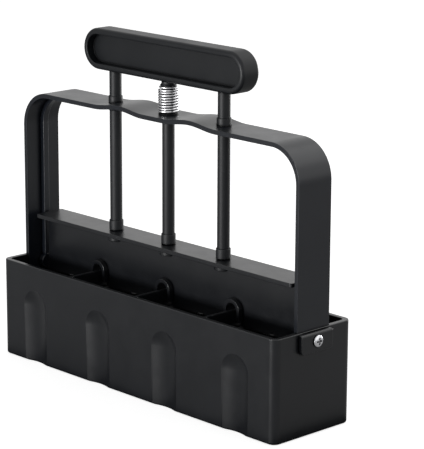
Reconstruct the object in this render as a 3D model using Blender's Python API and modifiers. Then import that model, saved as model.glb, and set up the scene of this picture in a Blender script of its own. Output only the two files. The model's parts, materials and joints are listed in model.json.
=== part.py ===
"""Hand soil blocker: a four-cell mould box, a strap frame and a sprung plunger with a bar handle."""

import math

import bmesh
import bpy
from mathutils import Matrix

# The frame of the part: origin at the bottom centre of the mould box, +X along the box,
# +Y away from the front face, +Z up. All lengths are in metres.

# Clearances and overruns
SEAT_GAP = 0.0003
SLIDE_CLEARANCE = 0.00008
SCREW_CLEARANCE = 0.0003
OVERRUN = 0.002
EMBED = 0.0005

# Mould box
BOX_LENGTH = 0.220
BOX_DEPTH = 0.057
BOX_HEIGHT = 0.0565
BOX_CORNER_RADIUS = 0.0045
WALL_THICKNESS = 0.003
CELL_COUNT = 4
CELL_CORNER_RADIUS = 0.0025
DIVIDER_THICKNESS = 0.002
DIVIDER_DROP = 0.0005
FLUTE_WIDTH = 0.0195
FLUTE_DEPTH = 0.0018
FLUTE_LAND = 0.0138
PAD_THICKNESS = 0.0024
PAD_WIDTH = 0.023
PAD_HEIGHT = 0.0106
PAD_DROP = 0.0007
PAD_CORNER_RADIUS = 0.002

# Frame strap
STRAP_WIDTH = 0.0236
STRAP_THICKNESS = 0.0025
STRAP_CLEARANCE = 0.0003
STRAP_RISE = 0.072
STRAP_BEND_RADIUS = 0.020
POCKET_SKIN = 0.0006
WAVE_HEIGHT = 0.00195
WAVE_CENTRE = 0.028
WAVE_REACH = 0.020
RIB_WIDTH = 0.0037
RIB_HEIGHT = 0.0033
SCREW_BOSS_RADIUS = 0.0045
SCREW_BOSS_HEIGHT = 0.0036

# Frame screws
SCREW_DROP = 0.0054
SCREW_HEAD_RADIUS = 0.0032
SCREW_HEAD_HEIGHT = 0.0014
SCREW_SHANK_RADIUS = 0.0016
SCREW_SOCKET_WIDTH = 0.0010
SCREW_SOCKET_LENGTH = 0.0038
SCREW_SOCKET_DEPTH = 0.0009
SCREW_CROWN_SHARES = ((0.5, 1), (0.85, 0.75), (1, 0.3))

# Push rods and what they run in
ROD_RADIUS = 0.0034
ROD_SPACING = 0.0429
BUSH_WALL = 0.00045
BUSH_STAND = 0.0042
SLEEVE_WALL = 0.0005
SLEEVE_HEIGHT = 0.0055
TENON_LENGTH = 0.010

# Pusher beam
FLANGE_END_CLEARANCE = 0.00115
FLANGE_WIDTH = 0.019
FLANGE_THICKNESS = 0.0023
FLANGE_RISE = 0.0245
FLANGE_CORNER_RADIUS = 0.0015
WEB_END_CLEARANCE = 0.0016
WEB_THICKNESS = 0.003
ROD_BOSS_WALL = 0.0012
ROD_BOSS_HEIGHT = 0.0036
SADDLE_RADIUS = 0.0058
SADDLE_WALL = 0.0019
SADDLE_DEPTH = 0.0098
SADDLE_LEG = 0.006
PIN_BOSS_RADIUS = 0.0036
PIN_BOSS_HEIGHT = 0.0036

# Press plates and dibble pins
PLATE_CLEARANCE = 0.0008
PLATE_THICKNESS = 0.004
PIN_RADIUS = 0.0045
PIN_LENGTH = 0.010
PIN_TIP_RADIUS = 0.0030
PIN_STUD_RADIUS = 0.0019
PIN_STUD_BITE = 0.003

# Handle
HANDLE_LENGTH = 0.126
HANDLE_HEIGHT = 0.0229
HANDLE_DEPTH = 0.0125
HANDLE_EDGE_RADIUS = 0.002
HANDLE_RIM = 0.0034
HANDLE_FRONT_RECESS = 0.005
HANDLE_REAR_RECESS = 0.0012
HANDLE_SKIN = 0.00105
HANDLE_SCREW_RISE = 0.0078
HANDLE_SCREW_HEAD_RADIUS = 0.0023
HANDLE_SCREW_HEAD_HEIGHT = 0.0008
HANDLE_SCREW_SHANK_RADIUS = 0.0011

# Return spring and its seats
SPRING_CLEARANCE = 0.00067
SPRING_WIRE_RADIUS = 0.0005
SPRING_TURNS = 8.6
SPRING_START = -150
SPRING_LENGTH = 0.0131
END_TURN_GAP = 0.00002
WASHER_THICKNESS = 0.0006
COLLAR_HEIGHT = 0.0025
COLLAR_WALL = 0.0003
COLLAR_FLARE = 0.0007
COLLAR_FLARE_SHARES = (0.5, 0.2)

# Plunger travel, which closes the spring's coils and keeps the saddles off the dividers
STROKE = 0.0035

# Facets, with angles in degrees
CORNER_STEPS = 6
ROUND_STEPS = 32
WAVE_STEPS = 16
COIL_STEPS = 16
FLUTE_STEPS = 48
PIN_STEPS = 24
TIP_STEPS = 4
SMALL_STEPS = 16
SOFTEN_SEGMENTS = 3
SOFTEN_ANGLE = 50
FLAT_ANGLE = 0.1
MERGE_DISTANCE = 0.00001

# Levels and places worked out from the sizes above
HALF_LENGTH = BOX_LENGTH / 2
HALF_DEPTH = BOX_DEPTH / 2
INNER_LENGTH = BOX_LENGTH - 2 * WALL_THICKNESS
CELL_LENGTH = (INNER_LENGTH - (CELL_COUNT - 1) * DIVIDER_THICKNESS) / CELL_COUNT
CELL_PITCH = CELL_LENGTH + DIVIDER_THICKNESS
CELL_DEPTH = BOX_DEPTH - 2 * WALL_THICKNESS
DIVIDER_TOP = BOX_HEIGHT - DIVIDER_DROP
FLUTE_TOP = BOX_HEIGHT - FLUTE_LAND
SCREW_HEIGHT = BOX_HEIGHT - SCREW_DROP
FLANGE_TOP = BOX_HEIGHT + FLANGE_RISE
STRAP_TOP = FLANGE_TOP + STRAP_RISE
STRAP_OUTER = HALF_LENGTH - POCKET_SKIN - STRAP_CLEARANCE / 2
STRAP_INNER = STRAP_OUTER - STRAP_THICKNESS
RIB_FACE = STRAP_INNER - RIB_HEIGHT
PAD_FACE = HALF_LENGTH + PAD_THICKNESS
PLATE_TOP = SCREW_HEIGHT - SCREW_BOSS_RADIUS - SEAT_GAP
PLATE_BOTTOM = PLATE_TOP - PLATE_THICKNESS
BOSS_FOOT = PLATE_TOP + SEAT_GAP
STRAP_LEG_END = BOSS_FOOT
WEB_BOTTOM = BOSS_FOOT + SEAT_GAP
FLANGE_BOTTOM = FLANGE_TOP - FLANGE_THICKNESS
FLANGE_LENGTH = 2 * (RIB_FACE - FLANGE_END_CLEARANCE)
WEB_LENGTH = 2 * (RIB_FACE - WEB_END_CLEARANCE)
SADDLE_BORE = SADDLE_RADIUS - SADDLE_WALL
SADDLE_CENTRE = DIVIDER_TOP + STROKE + SEAT_GAP - SADDLE_BORE
ROD_BOSS_RADIUS = ROD_RADIUS + SEAT_GAP + ROD_BOSS_WALL
ROD_BOTTOM = FLANGE_BOTTOM - ROD_BOSS_HEIGHT + ROD_BOSS_WALL
BUSH_BORE = ROD_RADIUS + SLIDE_CLEARANCE
BUSH_RADIUS = BUSH_BORE + BUSH_WALL
BUSH_HOLE = BUSH_RADIUS + SLIDE_CLEARANCE
SPRING_RADIUS = BUSH_RADIUS + SPRING_CLEARANCE + 2 * SPRING_WIRE_RADIUS
SPRING_BOTTOM = STRAP_TOP + SEAT_GAP + WASHER_THICKNESS + SEAT_GAP
SPRING_TOP = SPRING_BOTTOM + SPRING_LENGTH
COLLAR_BOTTOM = SPRING_TOP + SEAT_GAP + WASHER_THICKNESS + SEAT_GAP
HANDLE_BOTTOM = COLLAR_BOTTOM + COLLAR_HEIGHT + SEAT_GAP
HANDLE_MIDDLE = HANDLE_BOTTOM + HANDLE_HEIGHT / 2
HANDLE_PANEL = -HANDLE_DEPTH / 2 + HANDLE_FRONT_RECESS
HANDLE_BACK_PANEL = HANDLE_DEPTH / 2 - HANDLE_REAR_RECESS
SOCKET_TOP = HANDLE_BOTTOM + HANDLE_RIM - SEAT_GAP
TENON_FACE = HANDLE_PANEL + HANDLE_SKIN
ROD_PLACES = [-ROD_SPACING, 0, ROD_SPACING]
CELL_PLACES = [(i - (CELL_COUNT - 1) / 2) * CELL_PITCH for i in range(CELL_COUNT)]
DIVIDER_PLACES = [(i - (CELL_COUNT - 2) / 2) * CELL_PITCH for i in range(CELL_COUNT - 1)]

UPRIGHT = (math.pi / 2, 0, 0)
FROM_BEHIND = (-math.pi / 2, 0, 0)
ALONG_X = (0, math.pi / 2, 0)


def start_scene():
    """Empties the scene and makes the collections for the part and its cutters."""
    for old in list(bpy.data.objects):
        bpy.data.objects.remove(old, do_unlink=True)
    for name in ("soil_blocker", "cutters"):
        collection = bpy.data.collections.new(name)
        bpy.context.scene.collection.children.link(collection)


def make_material(name, colour, roughness, metallic=0.0):
    """A Principled material of one colour."""
    material = bpy.data.materials.new(name)
    material.use_nodes = True
    shader = material.node_tree.nodes["Principled BSDF"]
    shader.inputs["Base Color"].default_value = (*colour, 1.0)
    shader.inputs["Roughness"].default_value = roughness
    shader.inputs["Metallic"].default_value = metallic
    material.diffuse_color = (*colour, 1.0)
    return material


def add_object(name, mesh, location=(0, 0, 0), rotation=(0, 0, 0), collection="cutters"):
    """Puts a mesh in the scene as an object of the named collection."""
    thing = bpy.data.objects.new(name, mesh)
    thing.location = location
    thing.rotation_euler = rotation
    bpy.data.collections[collection].objects.link(thing)
    if collection == "cutters":
        thing.hide_render = True
        thing.display_type = "WIRE"
    return thing


def finish_part(thing, name, material, parent=None):
    """Turns a worked solid into a named sub-part with its material."""
    if thing.name in bpy.data.collections["cutters"].objects:
        bpy.data.collections["cutters"].objects.unlink(thing)
        bpy.data.collections["soil_blocker"].objects.link(thing)
    thing.name = name
    thing.data.name = name
    thing.hide_render = False
    thing.display_type = "TEXTURED"
    thing.data.materials.clear()
    thing.data.materials.append(material)
    if parent is not None:
        thing.parent = parent
    return thing


def evaluated_mesh(thing):
    """The object's mesh with its modifiers applied."""
    bpy.context.view_layer.update()
    depsgraph = bpy.context.evaluated_depsgraph_get()
    return bpy.data.meshes.new_from_object(thing.evaluated_get(depsgraph))


def weld(mesh):
    """Joins the loose caps of a converted curve to its sides and makes each cap one face."""
    work = bmesh.new()
    work.from_mesh(mesh)
    bmesh.ops.remove_doubles(work, verts=work.verts, dist=MERGE_DISTANCE)
    limit = math.radians(FLAT_ANGLE)
    bmesh.ops.dissolve_limit(work, angle_limit=limit, verts=work.verts, edges=work.edges)
    work.to_mesh(mesh)
    work.free()


def cuboid(name, low, high):
    """A box between two corners, with its origin at its centre."""
    mesh = bpy.data.meshes.new(name)
    work = bmesh.new()
    bmesh.ops.create_cube(work, size=1.0)
    sizes = [h - l for l, h in zip(low, high)]
    bmesh.ops.scale(work, vec=sizes, verts=work.verts)
    work.to_mesh(mesh)
    work.free()
    return add_object(name, mesh, [(l + h) / 2 for l, h in zip(low, high)])


def cylinder(name, radius, start, length, location, rotation=(0, 0, 0), steps=ROUND_STEPS):
    """A cylinder whose axis runs from start over length along its own Z."""
    mesh = bpy.data.meshes.new(name)
    work = bmesh.new()
    bmesh.ops.create_cone(
        work, cap_ends=True, segments=steps, radius1=radius, radius2=radius, depth=length,
        matrix=Matrix.Translation((0, 0, start + length / 2)),
    )
    work.to_mesh(mesh)
    work.free()
    return add_object(name, mesh, location, rotation)


def arc(centre_x, centre_y, radius, start, end, steps):
    """Points of an arc, its ends included; angles in degrees."""
    points = []
    for i in range(steps + 1):
        angle = math.radians(start + (end - start) * i / steps)
        points.append((centre_x + radius * math.cos(angle), centre_y + radius * math.sin(angle)))
    return points


def rounded_rectangle(half_x, half_y, radius):
    """Outline of a rectangle with round corners, anticlockwise."""
    corners = ((1, 1, 0), (-1, 1, 90), (-1, -1, 180), (1, -1, 270))
    points = []
    for side_x, side_y, start in corners:
        centre_x = side_x * (half_x - radius)
        centre_y = side_y * (half_y - radius)
        points += arc(centre_x, centre_y, radius, start, start + 90, CORNER_STEPS)
    return points


def stadium(half_length, radius):
    """Outline of a bar with half-round ends, anticlockwise."""
    reach = half_length - radius
    right = arc(reach, 0, radius, -90, 90, 2 * CORNER_STEPS)
    left = arc(-reach, 0, radius, 90, 270, 2 * CORNER_STEPS)
    return right + left


def arch(radius, drop):
    """Outline of a half-round arch on straight legs that reach down by drop."""
    return [(-radius, -drop), (radius, -drop)] + arc(0, 0, radius, 0, 180, 2 * CORNER_STEPS)


def slab(name, outline, thickness, location, rotation=(0, 0, 0)):
    """A flat outline given a thickness, centred on its own plane, as a mesh."""
    curve = bpy.data.curves.new(name, "CURVE")
    curve.dimensions = "2D"
    curve.fill_mode = "BOTH"
    curve.extrude = thickness / 2
    spline = curve.splines.new("POLY")
    spline.points.add(len(outline) - 1)
    for point, (x, y) in zip(spline.points, outline):
        point.co = (x, y, 0, 1)
    spline.use_cyclic_u = True
    guide = add_object(name + "_outline", curve)
    mesh = evaluated_mesh(guide)
    weld(mesh)
    bpy.data.objects.remove(guide, do_unlink=True)
    return add_object(name, mesh, location, rotation)


def turned(name, profile, location, rotation=(0, 0, 0), steps=ROUND_STEPS, closed=False):
    """A solid turned about its own Z from a profile of (radius, height), top to bottom."""
    mesh = bpy.data.meshes.new(name)
    points = [(radius, 0, height) for radius, height in profile]
    edges = [(i, i + 1) for i in range(len(points) - 1)]
    if closed:
        edges.append((len(points) - 1, 0))
    mesh.from_pydata(points, edges, [])
    thing = add_object(name, mesh, location, rotation)
    screw = thing.modifiers.new("turn", "SCREW")
    screw.steps = steps
    screw.render_steps = steps
    screw.use_merge_vertices = True
    screw.merge_threshold = MERGE_DISTANCE
    return thing


def tube(name, bore, radius, bottom, top, location):
    """A plain tube from its bore, outer radius and end heights."""
    profile = [(bore, top), (radius, top), (radius, bottom), (bore, bottom)]
    return turned(name, profile, location, closed=True)


def work_on(target, tool, operation):
    """Cuts the target with a tool, or joins the tool to it."""
    boolean = target.modifiers.new(operation.lower(), "BOOLEAN")
    boolean.operation = operation
    boolean.object = tool
    boolean.solver = "EXACT"


def cut(target, tool):
    work_on(target, tool, "DIFFERENCE")


def join(target, tool):
    work_on(target, tool, "UNION")


def soften(thing, width):
    """Rounds the sharp edges of a solid."""
    bevel = thing.modifiers.new("soften", "BEVEL")
    bevel.width = width
    bevel.segments = SOFTEN_SEGMENTS
    bevel.limit_method = "ANGLE"
    bevel.angle_limit = math.radians(SOFTEN_ANGLE)


def flute_cutter(name, x, side):
    """Round-topped scoop of a flute: a capsule that grazes the wall from outside."""
    radius = ((FLUTE_WIDTH / 2) ** 2 + FLUTE_DEPTH ** 2) / (2 * FLUTE_DEPTH)
    shoulder = FLUTE_TOP - FLUTE_WIDTH / 2
    dome = arc(0, shoulder, radius, 90, 0, FLUTE_STEPS // 4)
    dome[0] = (0, shoulder + radius)
    profile = dome + [(radius, -OVERRUN), (0, -OVERRUN)]
    axis_y = side * (HALF_DEPTH + radius - FLUTE_DEPTH)
    return turned(name, profile, (x, axis_y, 0), steps=FLUTE_STEPS)


def build_mould_box(material):
    """The box of four cells, fluted outside, with a pocket and a pad for each strap leg."""
    box = slab("mould_box", rounded_rectangle(HALF_LENGTH, HALF_DEPTH, BOX_CORNER_RADIUS),
               BOX_HEIGHT, (0, 0, BOX_HEIGHT / 2))
    pad_outline = rounded_rectangle(PAD_HEIGHT / 2, PAD_WIDTH / 2, PAD_CORNER_RADIUS)
    pad_depth = PAD_THICKNESS + POCKET_SKIN
    pad_middle = BOX_HEIGHT - PAD_DROP - PAD_HEIGHT / 2
    for side in (-1, 1):
        place = (side * (PAD_FACE - pad_depth / 2), 0, pad_middle)
        join(box, slab("pad", pad_outline, pad_depth, place, ALONG_X))
    for i, x in enumerate(CELL_PLACES):
        cell = slab(f"cell_{i}", rounded_rectangle(CELL_LENGTH / 2, CELL_DEPTH / 2, CELL_CORNER_RADIUS),
                    BOX_HEIGHT + 2 * OVERRUN, (x, 0, BOX_HEIGHT / 2))
        cut(box, cell)
        for side in (-1, 1):
            cut(box, flute_cutter(f"flute_{i}", x, side))
    trim_low = (-INNER_LENGTH / 2 + CELL_CORNER_RADIUS, -CELL_DEPTH / 2, DIVIDER_TOP)
    trim_high = (INNER_LENGTH / 2 - CELL_CORNER_RADIUS, CELL_DEPTH / 2, BOX_HEIGHT + OVERRUN)
    cut(box, cuboid("divider_trim", trim_low, trim_high))
    pocket_half = STRAP_WIDTH / 2 + STRAP_CLEARANCE
    for side in (-1, 1):
        ends = sorted((side * (INNER_LENGTH / 2 - OVERRUN), side * (HALF_LENGTH - POCKET_SKIN)))
        cut(box, cuboid("pocket", (ends[0], -pocket_half, STRAP_LEG_END - SEAT_GAP),
                        (ends[1], pocket_half, BOX_HEIGHT + OVERRUN)))
        hole = cylinder("screw_hole", SCREW_SHANK_RADIUS + SCREW_CLEARANCE, -PAD_THICKNESS - OVERRUN,
                        PAD_THICKNESS + 2 * OVERRUN, (side * PAD_FACE, 0, SCREW_HEIGHT),
                        (0, side * math.pi / 2, 0))
        cut(box, hole)
    finish_part(box, "mould_box", material)


def wave(x):
    """Rise of the bar at x: one smooth finger wave each side of the middle."""
    away = abs(abs(x) - WAVE_CENTRE) / WAVE_REACH
    if away >= 1:
        return 0
    return WAVE_HEIGHT * math.cos(away * math.pi / 2) ** 2


def strap_edge(offset):
    """One edge of the strap from the left leg's end to the right one's, set in by offset."""
    radius = STRAP_BEND_RADIUS - offset
    corner_x = STRAP_OUTER - STRAP_BEND_RADIUS
    corner_z = STRAP_TOP - STRAP_BEND_RADIUS
    steps = 2 * CORNER_STEPS
    points = [(-STRAP_OUTER + offset, STRAP_LEG_END)]
    points += arc(-corner_x, corner_z, radius, 180, 90, steps)
    for centre in (-WAVE_CENTRE, WAVE_CENTRE):
        for i in range(WAVE_STEPS + 1):
            x = centre + WAVE_REACH * (2 * i / WAVE_STEPS - 1)
            points.append((x, STRAP_TOP - offset + wave(x)))
    points += arc(corner_x, corner_z, radius, 90, 0, steps)
    points.append((STRAP_OUTER - offset, STRAP_LEG_END))
    return points


def rib_outline():
    """The right leg's inner rib: up the leg, round the bend and faded out under the bar."""
    corner_x = STRAP_OUTER - STRAP_BEND_RADIUS
    corner_z = STRAP_TOP - STRAP_BEND_RADIUS
    surface = STRAP_BEND_RADIUS - STRAP_THICKNESS
    buried = surface + EMBED
    steps = 2 * CORNER_STEPS
    points = [(RIB_FACE, SCREW_HEIGHT)]
    for i in range(steps + 1):
        turn = i / steps
        angle = math.radians(90 * turn)
        reach = surface + turn * EMBED / 2 - RIB_HEIGHT * math.sqrt(math.cos(angle))
        points.append((corner_x + reach * math.cos(angle), corner_z + reach * math.sin(angle)))
    points += arc(corner_x, corner_z, buried, 90, 0, steps)
    points.append((STRAP_INNER + EMBED, SCREW_HEIGHT))
    return points


def build_frame_strap(material):
    """The strap: two legs and a waved bar, ribbed inside, with bosses for its end screws."""
    outline = strap_edge(0) + strap_edge(STRAP_THICKNESS)[::-1]
    strap = slab("frame_strap", outline, STRAP_WIDTH, (0, 0, 0), UPRIGHT)
    for side in (-1, 1):
        rib = slab("rib", [(side * x, z) for x, z in rib_outline()], RIB_WIDTH, (0, 0, 0), UPRIGHT)
        join(strap, rib)
        turn = (0, side * math.pi / 2, 0)
        boss = cylinder("screw_boss", SCREW_BOSS_RADIUS, -SCREW_BOSS_HEIGHT, SCREW_BOSS_HEIGHT + EMBED,
                        (side * STRAP_INNER, 0, SCREW_HEIGHT), turn)
        join(strap, boss)
        depth = SCREW_BOSS_HEIGHT + STRAP_THICKNESS + 2 * OVERRUN
        hole = cylinder("screw_hole", SCREW_SHANK_RADIUS + SCREW_CLEARANCE, -depth + OVERRUN,
                        depth, (side * STRAP_OUTER, 0, SCREW_HEIGHT), turn)
        cut(strap, hole)
    for x in ROD_PLACES:
        hole = cylinder("bush_hole", BUSH_HOLE, -STRAP_THICKNESS - OVERRUN,
                        STRAP_THICKNESS + WAVE_HEIGHT + 2 * OVERRUN, (x, 0, STRAP_TOP))
        cut(strap, hole)
    finish_part(strap, "frame_strap", material)


def build_frame_screws(material):
    """Cross-head pan screws that hold the strap's legs, one at each end."""
    shank_end = PAD_FACE - STRAP_INNER + SCREW_BOSS_HEIGHT
    for side, name in ((-1, "frame_screw_left"), (1, "frame_screw_right")):
        seat = SEAT_GAP
        top = seat + SCREW_HEAD_HEIGHT
        profile = [(0, top)]
        for radius_share, height_share in SCREW_CROWN_SHARES:
            profile.append((SCREW_HEAD_RADIUS * radius_share, seat + SCREW_HEAD_HEIGHT * height_share))
        profile += [(SCREW_HEAD_RADIUS, seat), (SCREW_SHANK_RADIUS, seat),
                    (SCREW_SHANK_RADIUS, -shank_end), (0, -shank_end)]
        place = (side * PAD_FACE, 0, SCREW_HEIGHT)
        turn = (0, side * math.pi / 2, 0)
        screw = turned(name, profile, place, turn)
        half_length = SCREW_SOCKET_LENGTH / 2
        half_width = SCREW_SOCKET_WIDTH / 2
        for long_x, long_y in ((half_length, half_width), (half_width, half_length)):
            floor = top - SCREW_SOCKET_DEPTH
            slot = cuboid("socket", (-long_x, -long_y, floor), (long_x, long_y, top + OVERRUN))
            reach = (floor + top + OVERRUN) / 2
            slot.location = (side * (PAD_FACE + reach), 0, SCREW_HEIGHT)
            slot.rotation_euler = turn
            cut(screw, slot)
        finish_part(screw, name, material)


def build_guide_bushes(material):
    """Plain bushes in the bar that the rods slide in."""
    for i, x in enumerate(ROD_PLACES):
        name = f"guide_bush_{i + 1}"
        bush = tube(name, BUSH_BORE, BUSH_RADIUS, -STRAP_THICKNESS, BUSH_STAND, (x, 0, STRAP_TOP))
        finish_part(bush, name, material)


def build_push_rods(material, parent):
    """Three rods from the pusher beam up through the bar into the handle, with flatted tops."""
    for i, x in enumerate(ROD_PLACES):
        name = f"push_rod_{i + 1}"
        top = SOCKET_TOP + TENON_LENGTH
        rod = cylinder(name, ROD_RADIUS, ROD_BOTTOM, top - ROD_BOTTOM, (x, 0, 0))
        shoulder = SOCKET_TOP - SEAT_GAP
        flat = cuboid("flat", (x - ROD_RADIUS - OVERRUN, -ROD_RADIUS - OVERRUN, shoulder),
                      (x + ROD_RADIUS + OVERRUN, TENON_FACE, top + OVERRUN))
        cut(rod, flat)
        place = (x, 0, HANDLE_BOTTOM + HANDLE_SCREW_RISE)
        reach = ROD_RADIUS + OVERRUN
        cut(rod, cylinder("screw_hole", HANDLE_SCREW_SHANK_RADIUS + SEAT_GAP, -reach, 2 * reach,
                          place, UPRIGHT, SMALL_STEPS))
        finish_part(rod, name, material, parent)


def build_rod_sleeves(material, parent):
    """Short sleeves at the rods' feet, on the flange."""
    for i, x in enumerate(ROD_PLACES):
        name = f"rod_sleeve_{i + 1}"
        bore = ROD_RADIUS + SLIDE_CLEARANCE
        sleeve = tube(name, bore, bore + SLEEVE_WALL, 0, SLEEVE_HEIGHT, (x, 0, FLANGE_TOP + SEAT_GAP))
        finish_part(sleeve, name, material, parent)


def build_pusher_beam(material, parent):
    """The T-shaped beam: a flange on a web, with saddles over the dividers and bosses."""
    web_top = FLANGE_TOP - FLANGE_THICKNESS / 2
    outline = rounded_rectangle(FLANGE_LENGTH / 2, FLANGE_WIDTH / 2, FLANGE_CORNER_RADIUS)
    beam = slab("pusher_beam", outline, FLANGE_THICKNESS, (0, 0, web_top))
    web = slab("web", stadium(WEB_LENGTH / 2, WEB_THICKNESS / 2), web_top - WEB_BOTTOM,
               (0, 0, (web_top + WEB_BOTTOM) / 2))
    join(beam, web)
    for x in ROD_PLACES:
        boss_bottom = FLANGE_BOTTOM - ROD_BOSS_HEIGHT
        join(beam, cylinder("rod_boss", ROD_BOSS_RADIUS, boss_bottom, web_top - boss_bottom, (x, 0, 0)))
    for x in CELL_PLACES:
        join(beam, cylinder("pin_boss", PIN_BOSS_RADIUS, BOSS_FOOT, PIN_BOSS_HEIGHT, (x, 0, 0)))
    drop = SADDLE_CENTRE - WEB_BOTTOM + OVERRUN
    for x in DIVIDER_PLACES:
        place = (x, 0, SADDLE_CENTRE)
        join(beam, slab("saddle", arch(SADDLE_RADIUS, SADDLE_LEG), SADDLE_DEPTH, place, UPRIGHT))
        cut(beam, slab("slot", arch(SADDLE_BORE, drop), SADDLE_DEPTH + OVERRUN, place, UPRIGHT))
    for x in ROD_PLACES:
        cut(beam, cylinder("rod_socket", ROD_RADIUS + SEAT_GAP, ROD_BOTTOM - SEAT_GAP,
                           FLANGE_TOP - ROD_BOTTOM + SEAT_GAP + OVERRUN, (x, 0, 0)))
    for x in CELL_PLACES:
        cut(beam, cylinder("stud_hole", PIN_STUD_RADIUS + SEAT_GAP, BOSS_FOOT - OVERRUN,
                           PIN_STUD_BITE + SEAT_GAP + OVERRUN, (x, 0, 0)))
    finish_part(beam, "pusher_beam", material, parent)


def build_press_plates(material, parent):
    """One plate for each cell, held under the web by its dibble pin."""
    half_x = CELL_LENGTH / 2 - PLATE_CLEARANCE
    half_y = CELL_DEPTH / 2 - PLATE_CLEARANCE
    radius = CELL_CORNER_RADIUS
    for i, x in enumerate(CELL_PLACES):
        name = f"press_plate_{i + 1}"
        plate = slab(name, rounded_rectangle(half_x, half_y, radius), PLATE_THICKNESS,
                     (x, 0, PLATE_TOP - PLATE_THICKNESS / 2))
        hole = cylinder("stud_hole", PIN_STUD_RADIUS + SEAT_GAP, PLATE_BOTTOM - OVERRUN,
                        PLATE_THICKNESS + 2 * OVERRUN, (x, 0, 0))
        cut(plate, hole)
        finish_part(plate, name, material, parent)


def build_dibble_pins(material, parent):
    """Round-tipped pins that press the seed hole, each with a stud up through its plate."""
    for i, x in enumerate(CELL_PLACES):
        name = f"dibble_pin_{i + 1}"
        seat = PLATE_BOTTOM - SEAT_GAP
        stud_top = BOSS_FOOT + PIN_STUD_BITE
        tip = seat - PIN_LENGTH
        profile = [(0, stud_top), (PIN_STUD_RADIUS, stud_top), (PIN_STUD_RADIUS, seat), (PIN_RADIUS, seat)]
        for j in range(TIP_STEPS):
            angle = math.pi / 2 * j / TIP_STEPS
            radius = PIN_RADIUS - PIN_TIP_RADIUS * (1 - math.cos(angle))
            profile.append((radius, tip + PIN_TIP_RADIUS * (1 - math.sin(angle))))
        profile += [(PIN_RADIUS - PIN_TIP_RADIUS, tip), (0, tip)]
        finish_part(turned(name, profile, (x, 0, 0), steps=PIN_STEPS), name, material, parent)


def build_handle(material, parent):
    """The round-ended bar handle, recessed front and back, with flatted sockets for the rods."""
    half_length = HANDLE_LENGTH / 2
    radius = HANDLE_HEIGHT / 2
    handle = slab("handle", stadium(half_length, radius), HANDLE_DEPTH, (0, 0, HANDLE_MIDDLE), UPRIGHT)
    soften(handle, HANDLE_EDGE_RADIUS)
    inner = stadium(half_length - HANDLE_RIM, radius - HANDLE_RIM)
    outside = HANDLE_DEPTH / 2 + OVERRUN
    for face, panel in ((-outside, HANDLE_PANEL), (outside, HANDLE_BACK_PANEL)):
        place = (0, (face + panel) / 2, HANDLE_MIDDLE)
        cut(handle, slab("recess", inner, abs(face - panel), place, UPRIGHT))
    bore = ROD_RADIUS + SEAT_GAP
    for x in ROD_PLACES:
        top = SOCKET_TOP + TENON_LENGTH + SEAT_GAP
        foot = HANDLE_BOTTOM - OVERRUN
        socket = cylinder("rod_socket", bore, foot, top - foot, (x, 0, 0))
        cut(socket, cuboid("flat", (x - bore - OVERRUN, -bore - OVERRUN, SOCKET_TOP),
                           (x + bore + OVERRUN, TENON_FACE - SEAT_GAP, top + OVERRUN)))
        cut(handle, socket)
        reach = HANDLE_BACK_PANEL + OVERRUN
        cut(handle, cylinder("screw_hole", HANDLE_SCREW_SHANK_RADIUS + SEAT_GAP, -reach,
                             reach - TENON_FACE, (x, 0, HANDLE_BOTTOM + HANDLE_SCREW_RISE),
                             UPRIGHT, SMALL_STEPS))
    finish_part(handle, "handle", material, parent)


def build_handle_screws(material, parent):
    """Small flat-topped screws from behind, through the handle into the rods' flatted tops."""
    for i, x in enumerate(ROD_PLACES):
        name = f"handle_screw_{i + 1}"
        seat = HANDLE_BACK_PANEL + SEAT_GAP
        top = seat + HANDLE_SCREW_HEAD_HEIGHT
        end = TENON_FACE + EMBED
        profile = [(0, top), (HANDLE_SCREW_HEAD_RADIUS, top), (HANDLE_SCREW_HEAD_RADIUS, seat),
                   (HANDLE_SCREW_SHANK_RADIUS, seat), (HANDLE_SCREW_SHANK_RADIUS, end), (0, end)]
        place = (x, 0, HANDLE_BOTTOM + HANDLE_SCREW_RISE)
        screw = turned(name, profile, place, FROM_BEHIND, SMALL_STEPS)
        finish_part(screw, name, material, parent)


def coil_height(turn):
    """Height of the wire's middle after some turns: the first and last turn lie closed."""
    closed = 2 * SPRING_WIRE_RADIUS + END_TURN_GAP
    rise = SPRING_LENGTH - 2 * SPRING_WIRE_RADIUS - 2 * closed
    share = min(max((turn - 1) / (SPRING_TURNS - 2), 0), 1)
    ends = min(turn, 1) + max(turn - (SPRING_TURNS - 1), 0)
    return SPRING_WIRE_RADIUS + closed * ends + rise * share


def build_spring(material):
    """The return spring: a coil of round wire with closed ends round the middle rod."""
    curve = bpy.data.curves.new("return_spring", "CURVE")
    curve.dimensions = "3D"
    curve.bevel_depth = SPRING_WIRE_RADIUS
    curve.bevel_resolution = 2
    curve.use_fill_caps = True
    spline = curve.splines.new("POLY")
    count = round(SPRING_TURNS * COIL_STEPS)
    spline.points.add(count)
    coil_radius = SPRING_RADIUS - SPRING_WIRE_RADIUS
    for i, point in enumerate(spline.points):
        turn = SPRING_TURNS * i / count
        angle = math.radians(SPRING_START) + 2 * math.pi * turn
        x, y = coil_radius * math.cos(angle), coil_radius * math.sin(angle)
        point.co = (x, y, coil_height(turn), 1)
    spring = add_object("return_spring", curve, (0, 0, SPRING_BOTTOM), collection="soil_blocker")
    curve.materials.append(material)
    return spring


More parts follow.
